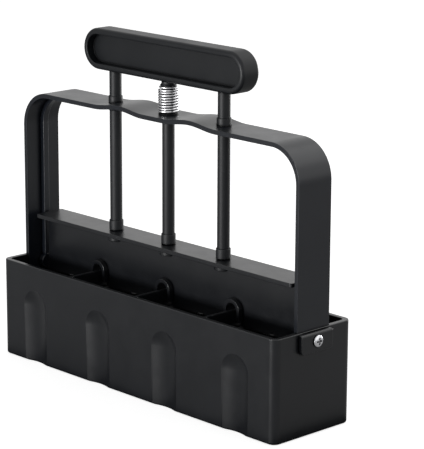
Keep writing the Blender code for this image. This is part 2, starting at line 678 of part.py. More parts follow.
def build_spring_seats(zinc, black, parent):
    """A washer under the spring, one on it, and the collar that presses on it."""
    bore = BUSH_RADIUS + SEAT_GAP
    lower = tube("spring_washer_lower", bore, SPRING_RADIUS, 0, WASHER_THICKNESS,
                 (0, 0, STRAP_TOP + SEAT_GAP))
    finish_part(lower, "spring_washer_lower", black)
    bore = ROD_RADIUS + SLIDE_CLEARANCE
    upper = tube("spring_washer_upper", bore, SPRING_RADIUS - SPRING_WIRE_RADIUS / 2, 0,
                 WASHER_THICKNESS, (0, 0, SPRING_TOP + SEAT_GAP))
    finish_part(upper, "spring_washer_upper", zinc, parent)
    top = bore + COLLAR_WALL
    upper, lower = [COLLAR_HEIGHT * share for share in COLLAR_FLARE_SHARES]
    profile = [(bore, COLLAR_HEIGHT), (top, COLLAR_HEIGHT), (top, upper), (top + COLLAR_FLARE, lower),
               (top + COLLAR_FLARE, 0), (bore, 0)]
    collar = turned("spring_collar", profile, (0, 0, COLLAR_BOTTOM), closed=True)
    finish_part(collar, "spring_collar", black, parent)


def main():
    start_scene()
    moulded = make_material("black_moulding", (0.028, 0.029, 0.031), 0.45)
    coated = make_material("black_powder_coat", (0.030, 0.031, 0.033), 0.5)
    rod_black = make_material("black_rod", (0.022, 0.023, 0.025), 0.35)
    zinc = make_material("bright_zinc", (0.78, 0.79, 0.80), 0.25, 1.0)
    plunger = bpy.data.objects.new("plunger", None)
    bpy.data.collections["soil_blocker"].objects.link(plunger)
    build_mould_box(moulded)
    build_frame_strap(coated)
    build_frame_screws(zinc)
    build_guide_bushes(rod_black)
    build_pusher_beam(moulded, plunger)
    build_push_rods(rod_black, plunger)
    build_rod_sleeves(rod_black, plunger)
    build_press_plates(moulded, plunger)
    build_dibble_pins(moulded, plunger)
    build_handle(moulded, plunger)
    build_handle_screws(zinc, plunger)
    build_spring(zinc)
    build_spring_seats(zinc, rod_black, plunger)


main()
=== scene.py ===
"""Looks of a hand soil blocker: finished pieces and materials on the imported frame, and a plain studio."""

import json
import math

import bmesh
import bpy
from bpy.props import (
    FloatProperty,
    FloatVectorProperty,
    IntProperty,
    PointerProperty,
)
from mathutils import Matrix, Vector


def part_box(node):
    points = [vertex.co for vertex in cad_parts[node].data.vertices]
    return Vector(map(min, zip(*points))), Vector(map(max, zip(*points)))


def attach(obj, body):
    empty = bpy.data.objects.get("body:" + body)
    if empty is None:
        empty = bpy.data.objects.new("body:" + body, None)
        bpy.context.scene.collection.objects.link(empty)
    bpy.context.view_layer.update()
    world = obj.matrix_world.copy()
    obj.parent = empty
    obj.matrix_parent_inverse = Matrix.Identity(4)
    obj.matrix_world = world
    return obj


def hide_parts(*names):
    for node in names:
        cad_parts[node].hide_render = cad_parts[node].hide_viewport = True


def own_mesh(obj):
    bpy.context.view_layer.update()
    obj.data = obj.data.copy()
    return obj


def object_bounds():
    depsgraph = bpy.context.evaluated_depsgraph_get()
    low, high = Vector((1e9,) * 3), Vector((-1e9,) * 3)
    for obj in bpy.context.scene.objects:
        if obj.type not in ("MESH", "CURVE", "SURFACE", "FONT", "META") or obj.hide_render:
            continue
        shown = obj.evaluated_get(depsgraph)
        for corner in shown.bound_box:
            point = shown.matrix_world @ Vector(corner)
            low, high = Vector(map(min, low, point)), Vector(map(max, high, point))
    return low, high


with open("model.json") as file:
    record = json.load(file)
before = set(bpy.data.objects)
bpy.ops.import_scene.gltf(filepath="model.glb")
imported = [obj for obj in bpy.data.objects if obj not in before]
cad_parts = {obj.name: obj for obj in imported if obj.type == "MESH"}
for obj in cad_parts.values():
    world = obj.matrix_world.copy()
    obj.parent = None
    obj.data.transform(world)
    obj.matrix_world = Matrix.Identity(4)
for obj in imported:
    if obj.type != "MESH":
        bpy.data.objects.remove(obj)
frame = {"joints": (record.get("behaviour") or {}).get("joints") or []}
CAD_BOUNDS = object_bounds()

bl_info = {
    "name": "Soil Blocker",
    "version": (1, 0, 0),
    "blender": (4, 5, 0),
    "location": "View3D > Sidebar > Soil Blocker",
    "description": "Makes the finished pieces, materials and studio of a four-cell hand soil blocker",
    "category": "Object",
}

EMBED = 0.0005  # how far a joined part reaches into its neighbour
OVERRUN = 0.002  # how far a cutting tool reaches past the face it cuts
FIT = 0.00008  # gap between a rod or bush and its bore
GAP = 0.0003  # gap that the eye reads as a line between two pieces
HAIR = 0.00001  # keeps two faces apart, or an end all but sharp
SOCKET_DEPTH = 0.0031  # how far the rods' full section reaches into the handle, with a gap
SCREW_SHANK = 0.0016  # radius of a frame screw's shank
FRAME_RECESS = (0.0019, 0.00038, 0.0013)  # cross recess: reach and half width of its bars, and its depth
HANDLE_RECESS = (0.0014, 0.0003, 0.0007)
ROUND_STEPS, FILLET_STEPS = 64, 4
BEND_STEPS, WAVE_STEPS, RIB_STEPS = 28, 40, 24  # along the strap's bends, waves and ribs
LIP_STEPS, HOLLOW_STEPS = 4, 18  # into a flute


def linear(hex_text):
    """An sRGB hex colour as linear red, green, blue and alpha."""
    values = []
    for i in (0, 2, 4):
        level = int(hex_text[i:i + 2], 16) / 255
        values.append(level / 12.92 if level <= 0.04045 else ((level + 0.055) / 1.055) ** 2.4)
    return (*values, 1.0)


def low_high(node):
    """Lowest and highest corner of a node of the frame."""
    low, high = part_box(node)
    return Vector(low), Vector(high)


def numbered(stem, count):
    """Names of a row of nodes."""
    return [f"{stem}_{i}" for i in range(1, count + 1)]


def middle(node):
    low, high = low_high(node)
    return (low + high) / 2


def radius_of(node):
    """Radius of an upright round node."""
    low, high = low_high(node)
    return (high.x - low.x) / 2


# Sizes and colours that a user would change


def length(name, description, default, **limits):
    """A property that holds a length in metres."""
    return FloatProperty(name=name, description=description, default=default, unit="LENGTH", **limits)


def paint(name, description, hex_text):
    """A property that holds a colour, given as sRGB hex."""
    return FloatVectorProperty(
        name=name, description=description, subtype="COLOR", size=4, default=linear(hex_text), min=0, max=1)


class BoxSizes(bpy.types.PropertyGroup):
    corner: length("Corner Radius", "Radius of the box's upright corners", 0.0045, min=0.001)
    foot_round: length("Foot Rounding", "Rounding along the outer bottom edge", 0.0012)
    wall: length("Wall", "Thickness of the outer walls", 0.003, min=0.001)
    divider: length("Divider", "Thickness of the walls between cells", 0.002, min=0.0005)
    divider_drop: length("Divider Drop", "How far the dividers lie below the rim", 0.0005)
    cells: IntProperty(name="Cells", description="Number of cells in the row", default=4, min=1)
    cell_corner: length("Cell Corner", "Radius of a cell's upright corners", 0.0025)
    rim_round: length("Rim Rounding", "Rounding along the rim", 0.0005)
    flute_width: length("Flute Width", "Width of a flute", 0.0195)
    flute_depth: length("Flute Depth", "Depth of a flute at its middle", 0.0022)
    flute_lip: length("Flute Lip", "Radius that turns the wall into a flute", 0.0004)
    flute_land: length("Flute Land", "Plain wall above the flutes", 0.0138)
    pad_thickness: length("Pad Thickness", "How far the pads stand proud of the ends", 0.0024)
    pad_width: length("Pad Width", "Width of a pad", 0.023)
    pad_height: length("Pad Height", "Height of a pad", 0.0106)
    pad_drop: length("Pad Drop", "How far a pad's top lies below the rim", 0.0007)
    pad_corner: length("Pad Corner", "Radius of a pad's lower corners", 0.002)
    pad_brow: length("Pad Top Rounding", "Rounding of a pad's top edge", 0.0014)
    brow_depth: length("Brow Depth", "Depth of the groove between a pad and the rim", 0.0007)


class StrapSizes(bpy.types.PropertyGroup):
    thickness: length("Thickness", "Thickness of the strap", 0.0025, min=0.001)
    edge: length("Edge Rounding", "Rounding along the strap's edges", 0.00022)
    bend: length("Bend Radius", "Outer radius of the bends", 0.020)
    wave_height: length("Wave Height", "Rise of the finger waves", 0.00195)
    wave_centre: length("Wave Centre", "Distance of a wave's crest from the middle", 0.028)
    wave_reach: length("Wave Reach", "Half the length of a wave", 0.020)
    rib_width: length("Rib Width", "Width of the inner rib", 0.0037)
    rib_height: length("Rib Height", "Height of the inner rib", 0.0033)
    rib_edge: length("Rib Rounding", "Rounding along the inner rib", 0.0006)
    boss_radius: length("Boss Radius", "Radius of the boss behind a screw", 0.0045)


class PlungerSizes(bpy.types.PropertyGroup):
    flange_thickness: length("Flange Thickness", "Thickness of the beam's flange", 0.0023)
    flange_corner: length("Flange Corner", "Corner radius of the flange", 0.0015)
    flange_edge: length("Flange Rounding", "Rounding along the flange's edges", 0.0003)
    web_length: length("Web Length", "Length of the beam's web", 0.2037)
    web_thickness: length("Web Thickness", "Thickness of the beam's web", 0.003)
    saddle_radius: length("Saddle Radius", "Outer radius of an arch over a divider", 0.0058)
    saddle_wall: length("Saddle Wall", "Thickness of an arch", 0.0019)
    saddle_depth: length("Saddle Depth", "Length of an arch front to back", 0.0098)
    saddle_edge: length("Saddle Rounding", "Rounding along an arch's edges", 0.0002)
    rod_boss: length("Rod Boss Radius", "Radius of the boss under a rod", 0.0049)
    rod_boss_height: length("Rod Boss Height", "How far that boss hangs below the flange", 0.0036)
    pin_boss: length("Pin Boss Radius", "Radius of the boss over a pin", 0.0025)
    pin_boss_height: length("Pin Boss Height", "Height of that boss", 0.0014)
    softness: length("Edge Rounding", "Rounding along the beam's other edges", 0.0004)


class HandleSizes(bpy.types.PropertyGroup):
    edge: length("Edge Rounding", "Rounding along the handle's edges", 0.002)
    rim: length("Rim", "Width of the rim round the recess", 0.0034)
    front_recess: length("Front Recess", "Depth of the front recess", 0.005)
    rear_recess: length("Rear Recess", "Depth of the rear recess", 0.0012)


class SpringSizes(bpy.types.PropertyGroup):
    wire: length("Wire Diameter", "Diameter of the spring wire", 0.0012)
    turns: FloatProperty(name="Turns", description="Number of turns", default=8.85, min=3)
    start: FloatProperty(
        name="Start Angle", description="Where the coil starts, seen from above",
        default=math.radians(110), subtype="ANGLE")
    stroke_share: FloatProperty(
        name="Length Kept", description="Share of its length that the spring keeps at full stroke",
        default=0.733, subtype="FACTOR", min=0.1, max=1)


class Finishes(bpy.types.PropertyGroup):
    moulding: paint("Moulding", "Colour of the moulded box, beam and plates", "0d0f13")
    coating: paint("Strap", "Colour of the strap", "0a0f17")
    grip: paint("Grip", "Colour of the handle", "090c10")
    rod: paint("Rod", "Colour of the rods, bushes and sleeves", "0a0d11")
    zinc: paint("Zinc", "Colour of the plated screws", "e6e7ea")
    nickel: paint("Nickel", "Colour of the plated spring wire", "f6f6f8")
    # Colour of the painted shade in the screws' recesses and between the spring's turns
    nook_shade: paint("Nook", "Colour of grease and dust in the nooks of plated pieces", "1c1d20")
    backdrop: paint("Backdrop", "Colour of the floor and background", "ffffff")


# Mesh tools


def mesh_object(name, work):
    """Puts a worked mesh in the scene as an object at the origin."""
    mesh = bpy.data.meshes.new(name)
    bmesh.ops.recalc_face_normals(work, faces=work.faces)
    work.to_mesh(mesh)
    work.free()
    piece = bpy.data.objects.new(name, mesh)
    bpy.context.scene.collection.objects.link(piece)
    return piece


def loft(name, rings, ring_shaped=False):
    """A closed skin over rings of points; the ends are capped, or joined where it is ring-shaped."""
    work = bmesh.new()
    rows = [[work.verts.new(point) for point in ring] for ring in rings]
    pairs = list(zip(rows, rows[1:]))
    if ring_shaped:
        pairs.append((rows[-1], rows[0]))
    for lower, upper in pairs:
        for i in range(len(lower)):
            j = (i + 1) % len(lower)
            work.faces.new((lower[i], lower[j], upper[j], upper[i]))
    if not ring_shaped:
        work.faces.new(rows[0][::-1])
        work.faces.new(rows[-1])
    return mesh_object(name, work)


def arc(centre_x, centre_y, radius, start, end, steps):
    """Points of an arc, its ends included; angles in degrees."""
    points = []
    for i in range(steps + 1):
        angle = math.radians(start + (end - start) * i / steps)
        points.append((centre_x + radius * math.cos(angle), centre_y + radius * math.sin(angle)))
    return points


def rectangle(x0, x1, y0, y1, radius, steps=6):
    """Outline of a rectangle with round corners, anticlockwise."""
    points = []
    for cx, cy, start in ((x1, y1, 0), (x0, y1, 90), (x0, y0, 180), (x1, y0, 270)):
        inner_x = cx - math.copysign(radius, cx - (x0 + x1) / 2)
        inner_y = cy - math.copysign(radius, cy - (y0 + y1) / 2)
        points += arc(inner_x, inner_y, radius, start, start + 90, steps)
    return points


def stadium(half_length, radius, steps=24):
    """Outline of a bar with half-round ends, anticlockwise."""
    reach = half_length - radius
    return arc(reach, 0, radius, -90, 90, steps) + arc(-reach, 0, radius, 90, 270, steps)


def at_height(outline, z):
    """A flat outline as points at height z."""
    return [(x, y, z) for x, y in outline]


def arch(radius, drop, steps=20):
    """Outline of a half-round arch on straight legs that reach down by drop."""
    return [(-radius, -drop), (radius, -drop)] + arc(0, 0, radius, 0, 180, steps)


def rounded_ends(low, high, fillet, low_fillet=None, steps=FILLET_STEPS):
    """Insets and heights of a side that rounds into both of its end faces."""
    first = fillet if low_fillet is None else low_fillet
    rows = []
    for i in range(steps + 1):
        angle = math.pi / 2 * i / steps
        rows.append((first * (1 - math.sin(angle)), low + first * (1 - math.cos(angle))))
    for i in range(steps + 1):
        angle = math.pi / 2 * i / steps
        rows.append((fillet * (1 - math.cos(angle)), high - fillet * (1 - math.sin(angle))))
    return rows


def plate(name, outline, rows, place):
    """A flat-ended solid: outline gives its shape for an inset, place puts its points in space."""
    return loft(name, [[place(u, v, height) for u, v in outline(inset)] for inset, height in rows])


def turned(name, profile, place, ring_shaped=False, steps=ROUND_STEPS):
    """A round solid from a profile of radii and heights; place puts its points in space."""
    rings = []
    for radius, height in profile:
        ring = []
        for i in range(steps):
            angle = 2 * math.pi * i / steps
            ring.append(place(radius * math.cos(angle), radius * math.sin(angle), height))
        rings.append(ring)
    return loft(name, rings, ring_shaped)


def bar_profile(radius, *ends):
    """Profile of a round bar; ends are what rounded_ends takes."""
    return [(radius - inset, height) for inset, height in rounded_ends(*ends)]


def tube_profile(bore, radius, low, high, lip):
    """Closed profile of a tube whose ends are softened by lip."""
    inner = [(bore + inset, height) for inset, height in rounded_ends(low, high, lip)]
    return bar_profile(radius, low, high, lip) + inner[::-1]


def upright(centre_x=0.0):
    """Places a shape with its height along Z."""
    return lambda u, v, height: (centre_x + u, v, height)


def facing_y(centre_x, centre_z, side=1):
    """Places a shape with its height along Y."""
    return lambda u, v, height: (centre_x + u, side * height, centre_z + v)


def facing_x(centre_z, side=1):
    """Places a shape with its height along X."""
    return lambda u, v, height: (side * height, u, centre_z + v)


def settle(piece):
    """Replaces a piece's mesh by its evaluated one and drops its modifiers."""
    bpy.context.view_layer.update()
    depsgraph = bpy.context.evaluated_depsgraph_get()
    mesh = bpy.data.meshes.new_from_object(piece.evaluated_get(depsgraph))
    piece.modifiers.clear()
    old = piece.data
    piece.data = mesh
    mesh.name = piece.name
    if old.users == 0:
        bpy.data.meshes.remove(old)


def combine(piece, tools, operation):
    """Cuts tools from a piece or joins them to it, then removes them."""
    for tool in tools:
        modifier = piece.modifiers.new("combine", "BOOLEAN")
        modifier.operation = operation
        modifier.solver = "MANIFOLD"
        modifier.object = tool
    settle(piece)
    for tool in tools:
        bpy.data.objects.remove(tool, do_unlink=True)


def finish_piece(piece, material, body, nodes, sharp=40):
    """Smooths a piece, gives it its material and lets it stand for nodes of the frame."""
    piece.data.shade_smooth()
    piece.data.set_sharp_from_angle(angle=math.radians(sharp))
    weigh = piece.modifiers.new("weigh", "WEIGHTED_NORMAL")
    weigh.keep_sharp = True
    settle(piece)
    piece.data.materials.clear()
    piece.data.materials.append(material)
    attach(piece, body)
    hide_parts(*nodes)
    return piece


# Node tools


def add_node(tree, kind, inputs=None, **settings):
    """Adds a node; inputs hold a value or another node's output for each socket."""
    made = tree.nodes.new(kind)
    for key, value in settings.items():
        setattr(made, key, value)
    for key, value in (inputs or {}).items():
        if isinstance(value, bpy.types.NodeSocket):
            tree.links.new(value, made.inputs[key])
        else:
            made.inputs[key].default_value = value
    return made


def number(tree, operation, *values):
    """Result of a math node."""
    return add_node(tree, "ShaderNodeMath", dict(enumerate(values)), operation=operation).outputs[0]


def ramp(tree, value, low, high, first=0.0, last=1.0, kind="LINEAR"):
    """Result of a node that takes a value's range from low to high over to first to last."""
    return add_node(tree, "ShaderNodeMapRange", {
        "Value": value, "From Min": low, "From Max": high, "To Min": first, "To Max": last},
        interpolation_type=kind).outputs["Result"]


def dot(tree, first, second):
    """Dot product of two directions."""
    return add_node(tree, "ShaderNodeVectorMath", {
        0: first, 1: second}, operation="DOT_PRODUCT").outputs["Value"]


def scale(tree, vector, factor):
    """A colour or direction times a factor."""
    return add_node(tree, "ShaderNodeVectorMath", {0: vector, "Scale": factor}, operation="SCALE").outputs[0]


def mixed(tree, share, first, second):
    """A colour between two others."""
    return add_node(tree, "ShaderNodeMix", {
        "Factor": share, "A": first, "B": second}, data_type="RGBA").outputs["Result"]


def noise(tree, spot, size_mm, detail, roughness):
    """Noise whose features are about size_mm wide."""
    return add_node(tree, "ShaderNodeTexNoise", {
        "Vector": spot, "Scale": 1000 / size_mm, "Detail": detail, "Roughness": roughness}).outputs["Fac"]


def openness(tree, reach_mm, samples):
    """Near 1 on open faces, and lower in nooks that are about reach_mm wide."""
    return add_node(tree, "ShaderNodeAmbientOcclusion", {
        "Distance": reach_mm / 1000}, samples=samples).outputs["AO"]


def shape_tree(name, inputs):
    """A new geometry node tree, and the sockets of its named inputs."""
    tree = bpy.data.node_groups.new(name, "GeometryNodeTree")
    for socket, kind in inputs.items():
        tree.interface.new_socket(socket, in_out="INPUT", socket_type="NodeSocket" + kind)
    tree.interface.new_socket("Shape", in_out="OUTPUT", socket_type="NodeSocketGeometry")
    return tree, add_node(tree, "NodeGroupInput").outputs


def close_tree(tree, shape, material):
    """Ends a geometry node tree: a real mesh in one material."""
    real = add_node(tree, "GeometryNodeRealizeInstances", {"Geometry": shape})
    painted = add_node(tree, "GeometryNodeSetMaterial", {"Geometry": real.outputs[0], "Material": material})
    add_node(tree, "NodeGroupOutput", {"Shape": painted.outputs[0]})
    return tree


def row_tree():
    """Geometry nodes that repeat a piece in a row, each copy turned about Z by one more step."""
    tree, given = shape_tree("piece_row", {
        "Piece": "Geometry", "Count": "Int", "Start": "Vector", "Step": "Vector", "Turn": "Float",
        "Material": "Material"})
    line = add_node(tree, "GeometryNodeMeshLine", {
        "Count": given["Count"], "Start Location": given["Start"], "Offset": given["Step"]}, mode="OFFSET")
    index = add_node(tree, "GeometryNodeInputIndex").outputs[0]
    turn = add_node(tree, "ShaderNodeCombineXYZ", {"Z": number(tree, "MULTIPLY", index, given["Turn"])})
    copies = add_node(tree, "GeometryNodeInstanceOnPoints", {
        "Points": line.outputs[0], "Instance": given["Piece"], "Rotation": turn.outputs[0]})
    return close_tree(tree, copies.outputs[0], given["Material"])


def coil_tree():
    """Geometry nodes that wind round wire into a left-handed coil whose first and last turn lie closed."""
    tree, given = shape_tree("wire_coil", {
        "Mesh": "Geometry", "Coil Radius": "Float", "Wire Radius": "Float", "Closed Pitch": "Float",
        "Rise": "Float", "Turns": "Float", "Start Angle": "Float", "Bottom": "Float",
        "Material": "Material"})
    spiral = add_node(tree, "GeometryNodeCurveSpiral", {
        "Resolution": 48, "Rotations": given["Turns"], "Start Radius": given["Coil Radius"],
        "End Radius": given["Coil Radius"], "Height": 0.0, "Reverse": True})
    share = add_node(tree, "GeometryNodeSplineParameter").outputs["Factor"]
    turn = number(tree, "MULTIPLY", share, given["Turns"])
    last = number(tree, "SUBTRACT", given["Turns"], 1.0)
    height = given["Bottom"]
    for start, end, gain in (
            (0.0, 1.0, given["Closed Pitch"]), (1.0, last, given["Rise"]),
            (last, given["Turns"], given["Closed Pitch"])):
        height = number(tree, "ADD", height, ramp(tree, turn, start, end, 0.0, gain))
    lift = add_node(tree, "ShaderNodeCombineXYZ", {"Z": number(tree, "ADD", height, given["Wire Radius"])})
    wound = add_node(tree, "GeometryNodeSetPosition", {
        "Geometry": spiral.outputs[0], "Offset": lift.outputs[0]})
    angle = add_node(tree, "ShaderNodeCombineXYZ", {"Z": given["Start Angle"]})
    placed = add_node(tree, "GeometryNodeTransform", {
        "Geometry": wound.outputs[0], "Rotation": angle.outputs[0]})
    wire = add_node(tree, "GeometryNodeCurvePrimitiveCircle", {
        "Resolution": 16, "Radius": given["Wire Radius"]})
    swept = add_node(tree, "GeometryNodeCurveToMesh", {
        "Curve": placed.outputs[0], "Profile Curve": wire.outputs[0], "Fill Caps": True})
    return close_tree(tree, swept.outputs[0], given["Material"])


def grow(piece, tree, values):
    """Runs a geometry node tree on a piece with named inputs, and keeps the plain mesh."""
    modifier = piece.modifiers.new(tree.name, "NODES")
    modifier.node_group = tree
    sockets = {item.name: item.identifier for item in tree.interface.items_tree if item.in_out == "INPUT"}
    for name, value in values.items():
        modifier[sockets[name]] = value
    settle(piece)
    return piece


def row_of(piece, nodes, material):
    """Repeats a piece that is made at the origin so that a copy stands at each of its nodes."""
    first = middle(nodes[0])
    step = (middle(nodes[-1]) - first) / max(len(nodes) - 1, 1)
    return grow(piece, row_tree(), {
        "Count": len(nodes), "Start": (first.x, 0.0, 0.0), "Step": (step.x, 0.0, 0.0),
        "Turn": 0.0, "Material": material})


# Materials

CLOUD_MM, FLOW_MM = 22, 6  # width of the slow and the fine unevenness of a moulding's gloss
NOISE_SPAN = (0.3, 0.7)  # where most of a noise's values lie
WORN_EDGE = 0.0009  # how far from an edge wear shows
NOOK_SHADE_MM, NOOK_SHADE_SPAN = 2.2, (0.45, 0.82)  # width of a nook where black pieces get painted shade, and the openness over which that painted shade fades from darkest to none


def dressed_material(name, build):
    """The material of that name; where there is none, build dresses the shader of a new one."""
    material = bpy.data.materials.get(name)
    if material is None:
        material = bpy.data.materials.new(name)
        material.use_nodes = True
        tree = material.node_tree
        shader = tree.nodes["Principled BSDF"]
        spot = add_node(tree, "ShaderNodeTexCoord").outputs["Object"]
        for socket, value in build(tree, shader, spot).items():
            tree.links.new(value, shader.inputs[socket])
    return material


def shade(colour, factor, lift=0.0):
    """A constant colour made darker or paler."""
    return tuple(min(1.0, factor * level + lift) for level in colour[:3]) + (1.0,)


def black_plastic(name, colour, roughness, ior, grain_mm, grain_depth_mm, scuff):
    """Shared build of the black pieces: fine grain, cloudy gloss, paler worn edges, and painted shade that
    darkens and dulls the nooks.
    """
    def build(tree, shader, spot):
        shader.inputs["IOR"].default_value = ior
        grain = noise(tree, spot, grain_mm, 2.0, 0.6)
        cloud = noise(tree, spot, CLOUD_MM, 3.0, 0.55)
        flow = noise(tree, spot, FLOW_MM, 4.0, 0.6)
        rough = number(tree, "ADD", ramp(tree, cloud, *NOISE_SPAN, roughness - 0.02, roughness + 0.03),
                       ramp(tree, flow, *NOISE_SPAN, -0.02, 0.02))
        around = add_node(tree, "ShaderNodeBevel", {"Radius": WORN_EDGE}, samples=4).outputs["Normal"]
        bend = dot(tree, around, add_node(tree, "ShaderNodeNewGeometry").outputs["Normal"])
        patchy = ramp(tree, flow, 0.42, 0.62, 0.25, 1.0)
        worn = number(tree, "MULTIPLY", ramp(tree, bend, 0.995, 0.93), patchy)
        base = mixed(tree, cloud, shade(colour, 0.86), tuple(colour))
        base = mixed(tree, number(tree, "MULTIPLY", worn, scuff), base, shade(colour, 2.6, 0.004))
        # Painted shade: colour and gloss are darkened in nooks, where shade falls.
        painted_nook_shade = ramp(tree, openness(tree, NOOK_SHADE_MM, 6), *NOOK_SHADE_SPAN, 0.1, 1.0)
        bump = add_node(tree, "ShaderNodeBump", {
            "Strength": 0.5, "Distance": grain_depth_mm / 1000, "Height": grain})
        return {"Base Color": scale(tree, base, painted_nook_shade), "Roughness": rough, "Normal": bump.outputs["Normal"],
                "Specular IOR Level": number(tree, "MULTIPLY", painted_nook_shade, 0.5)}
    return dressed_material(name, build)


def moulded_polypropylene(colours):
    """Injection-moulded black polypropylene, spark-eroded tool: an even satin with a fine grain.
    The grain of a real tool is near 0.1 mm and is drawn at 0.45 mm so that it can show."""
    return black_plastic("moulded_black_polypropylene", colours.moulding, roughness=0.31, ior=1.50,
                         grain_mm=0.45, grain_depth_mm=0.010, scuff=0.15)


def moulded_nylon(colours):
    """Black glass-filled nylon strap, moulded in a polished tool: smoother than the box, a soft sheen."""
    return black_plastic("moulded_black_nylon", colours.coating, roughness=0.33, ior=1.50,
                         grain_mm=0.6, grain_depth_mm=0.008, scuff=0.12)


def grip_nylon(colours):
    """Black nylon grip, moulded in a finely textured tool and rubbed by the palm: duller and darker."""
    return black_plastic("moulded_black_grip_nylon", colours.grip, roughness=0.42, ior=1.38,
                         grain_mm=0.5, grain_depth_mm=0.010, scuff=0.12)


def coated_rod(colours):
    """Drawn steel rod dipped in a smooth black coat: an even, soft sheen."""
    return black_plastic("black_coated_steel_rod", colours.rod, roughness=0.50, ior=1.42,
                         grain_mm=0.8, grain_depth_mm=0.006, scuff=0.1)


def turned_acetal(colours):
    """Turned black acetal for bushes and sleeves: low gloss with faint tool marks."""
    return black_plastic("turned_black_acetal", colours.rod, roughness=0.48, ior=1.45,
                         grain_mm=0.35, grain_depth_mm=0.006, scuff=0.1)


def plated_steel(name, colour, nook_shade, roughness, mark_mm, mark_depth_mm, nook_mm, closed, open_):
    """Shared build of plated steel: bright, finely uneven, and painted dark in nooks and gaps, where shade
    falls.
    """
    def build(tree, shader, spot):
        shader.inputs["Metallic"].default_value = 1.0
        marks = noise(tree, spot, mark_mm, 3.0, 0.6)
        base = mixed(tree, marks, tuple(colour), shade(colour, 0.78))
        # Painted shade: the colour turns to the nook shade colour in recesses and between the turns.
        painted_gap_shade = ramp(tree, openness(tree, nook_mm, 8), closed, open_, 1.0, 0.0)
        bump = add_node(tree, "ShaderNodeBump", {
            "Strength": 0.4, "Distance": mark_depth_mm / 1000, "Height": marks})
        return {"Base Color": mixed(tree, painted_gap_shade, base, tuple(nook_shade)), "Normal": bump.outputs["Normal"],
                "Roughness": ramp(tree, marks, *NOISE_SPAN, roughness - 0.05, roughness + 0.08)}
    return dressed_material(name, build)


def zinc_screw_steel(colours):
    """Bright zinc plated screw steel: pale and slightly clouded, with painted shade that makes the cross
    recess read dark.
    """
    return plated_steel("zinc_plated_steel", colours.zinc, colours.nook_shade, roughness=0.34,
                        mark_mm=0.8, mark_depth_mm=0.005, nook_mm=0.9, closed=0.55, open_=0.88)


def spring_steel(colours):
    """Bright nickel plated spring wire: a clean highlight along each turn and painted shade between the
    turns.
    """
    return plated_steel("nickel_plated_spring_wire", colours.nickel, colours.nook_shade, roughness=0.30,
                        mark_mm=1.2, mark_depth_mm=0.002, nook_mm=1.0, closed=0.50, open_=0.84)


# Operators


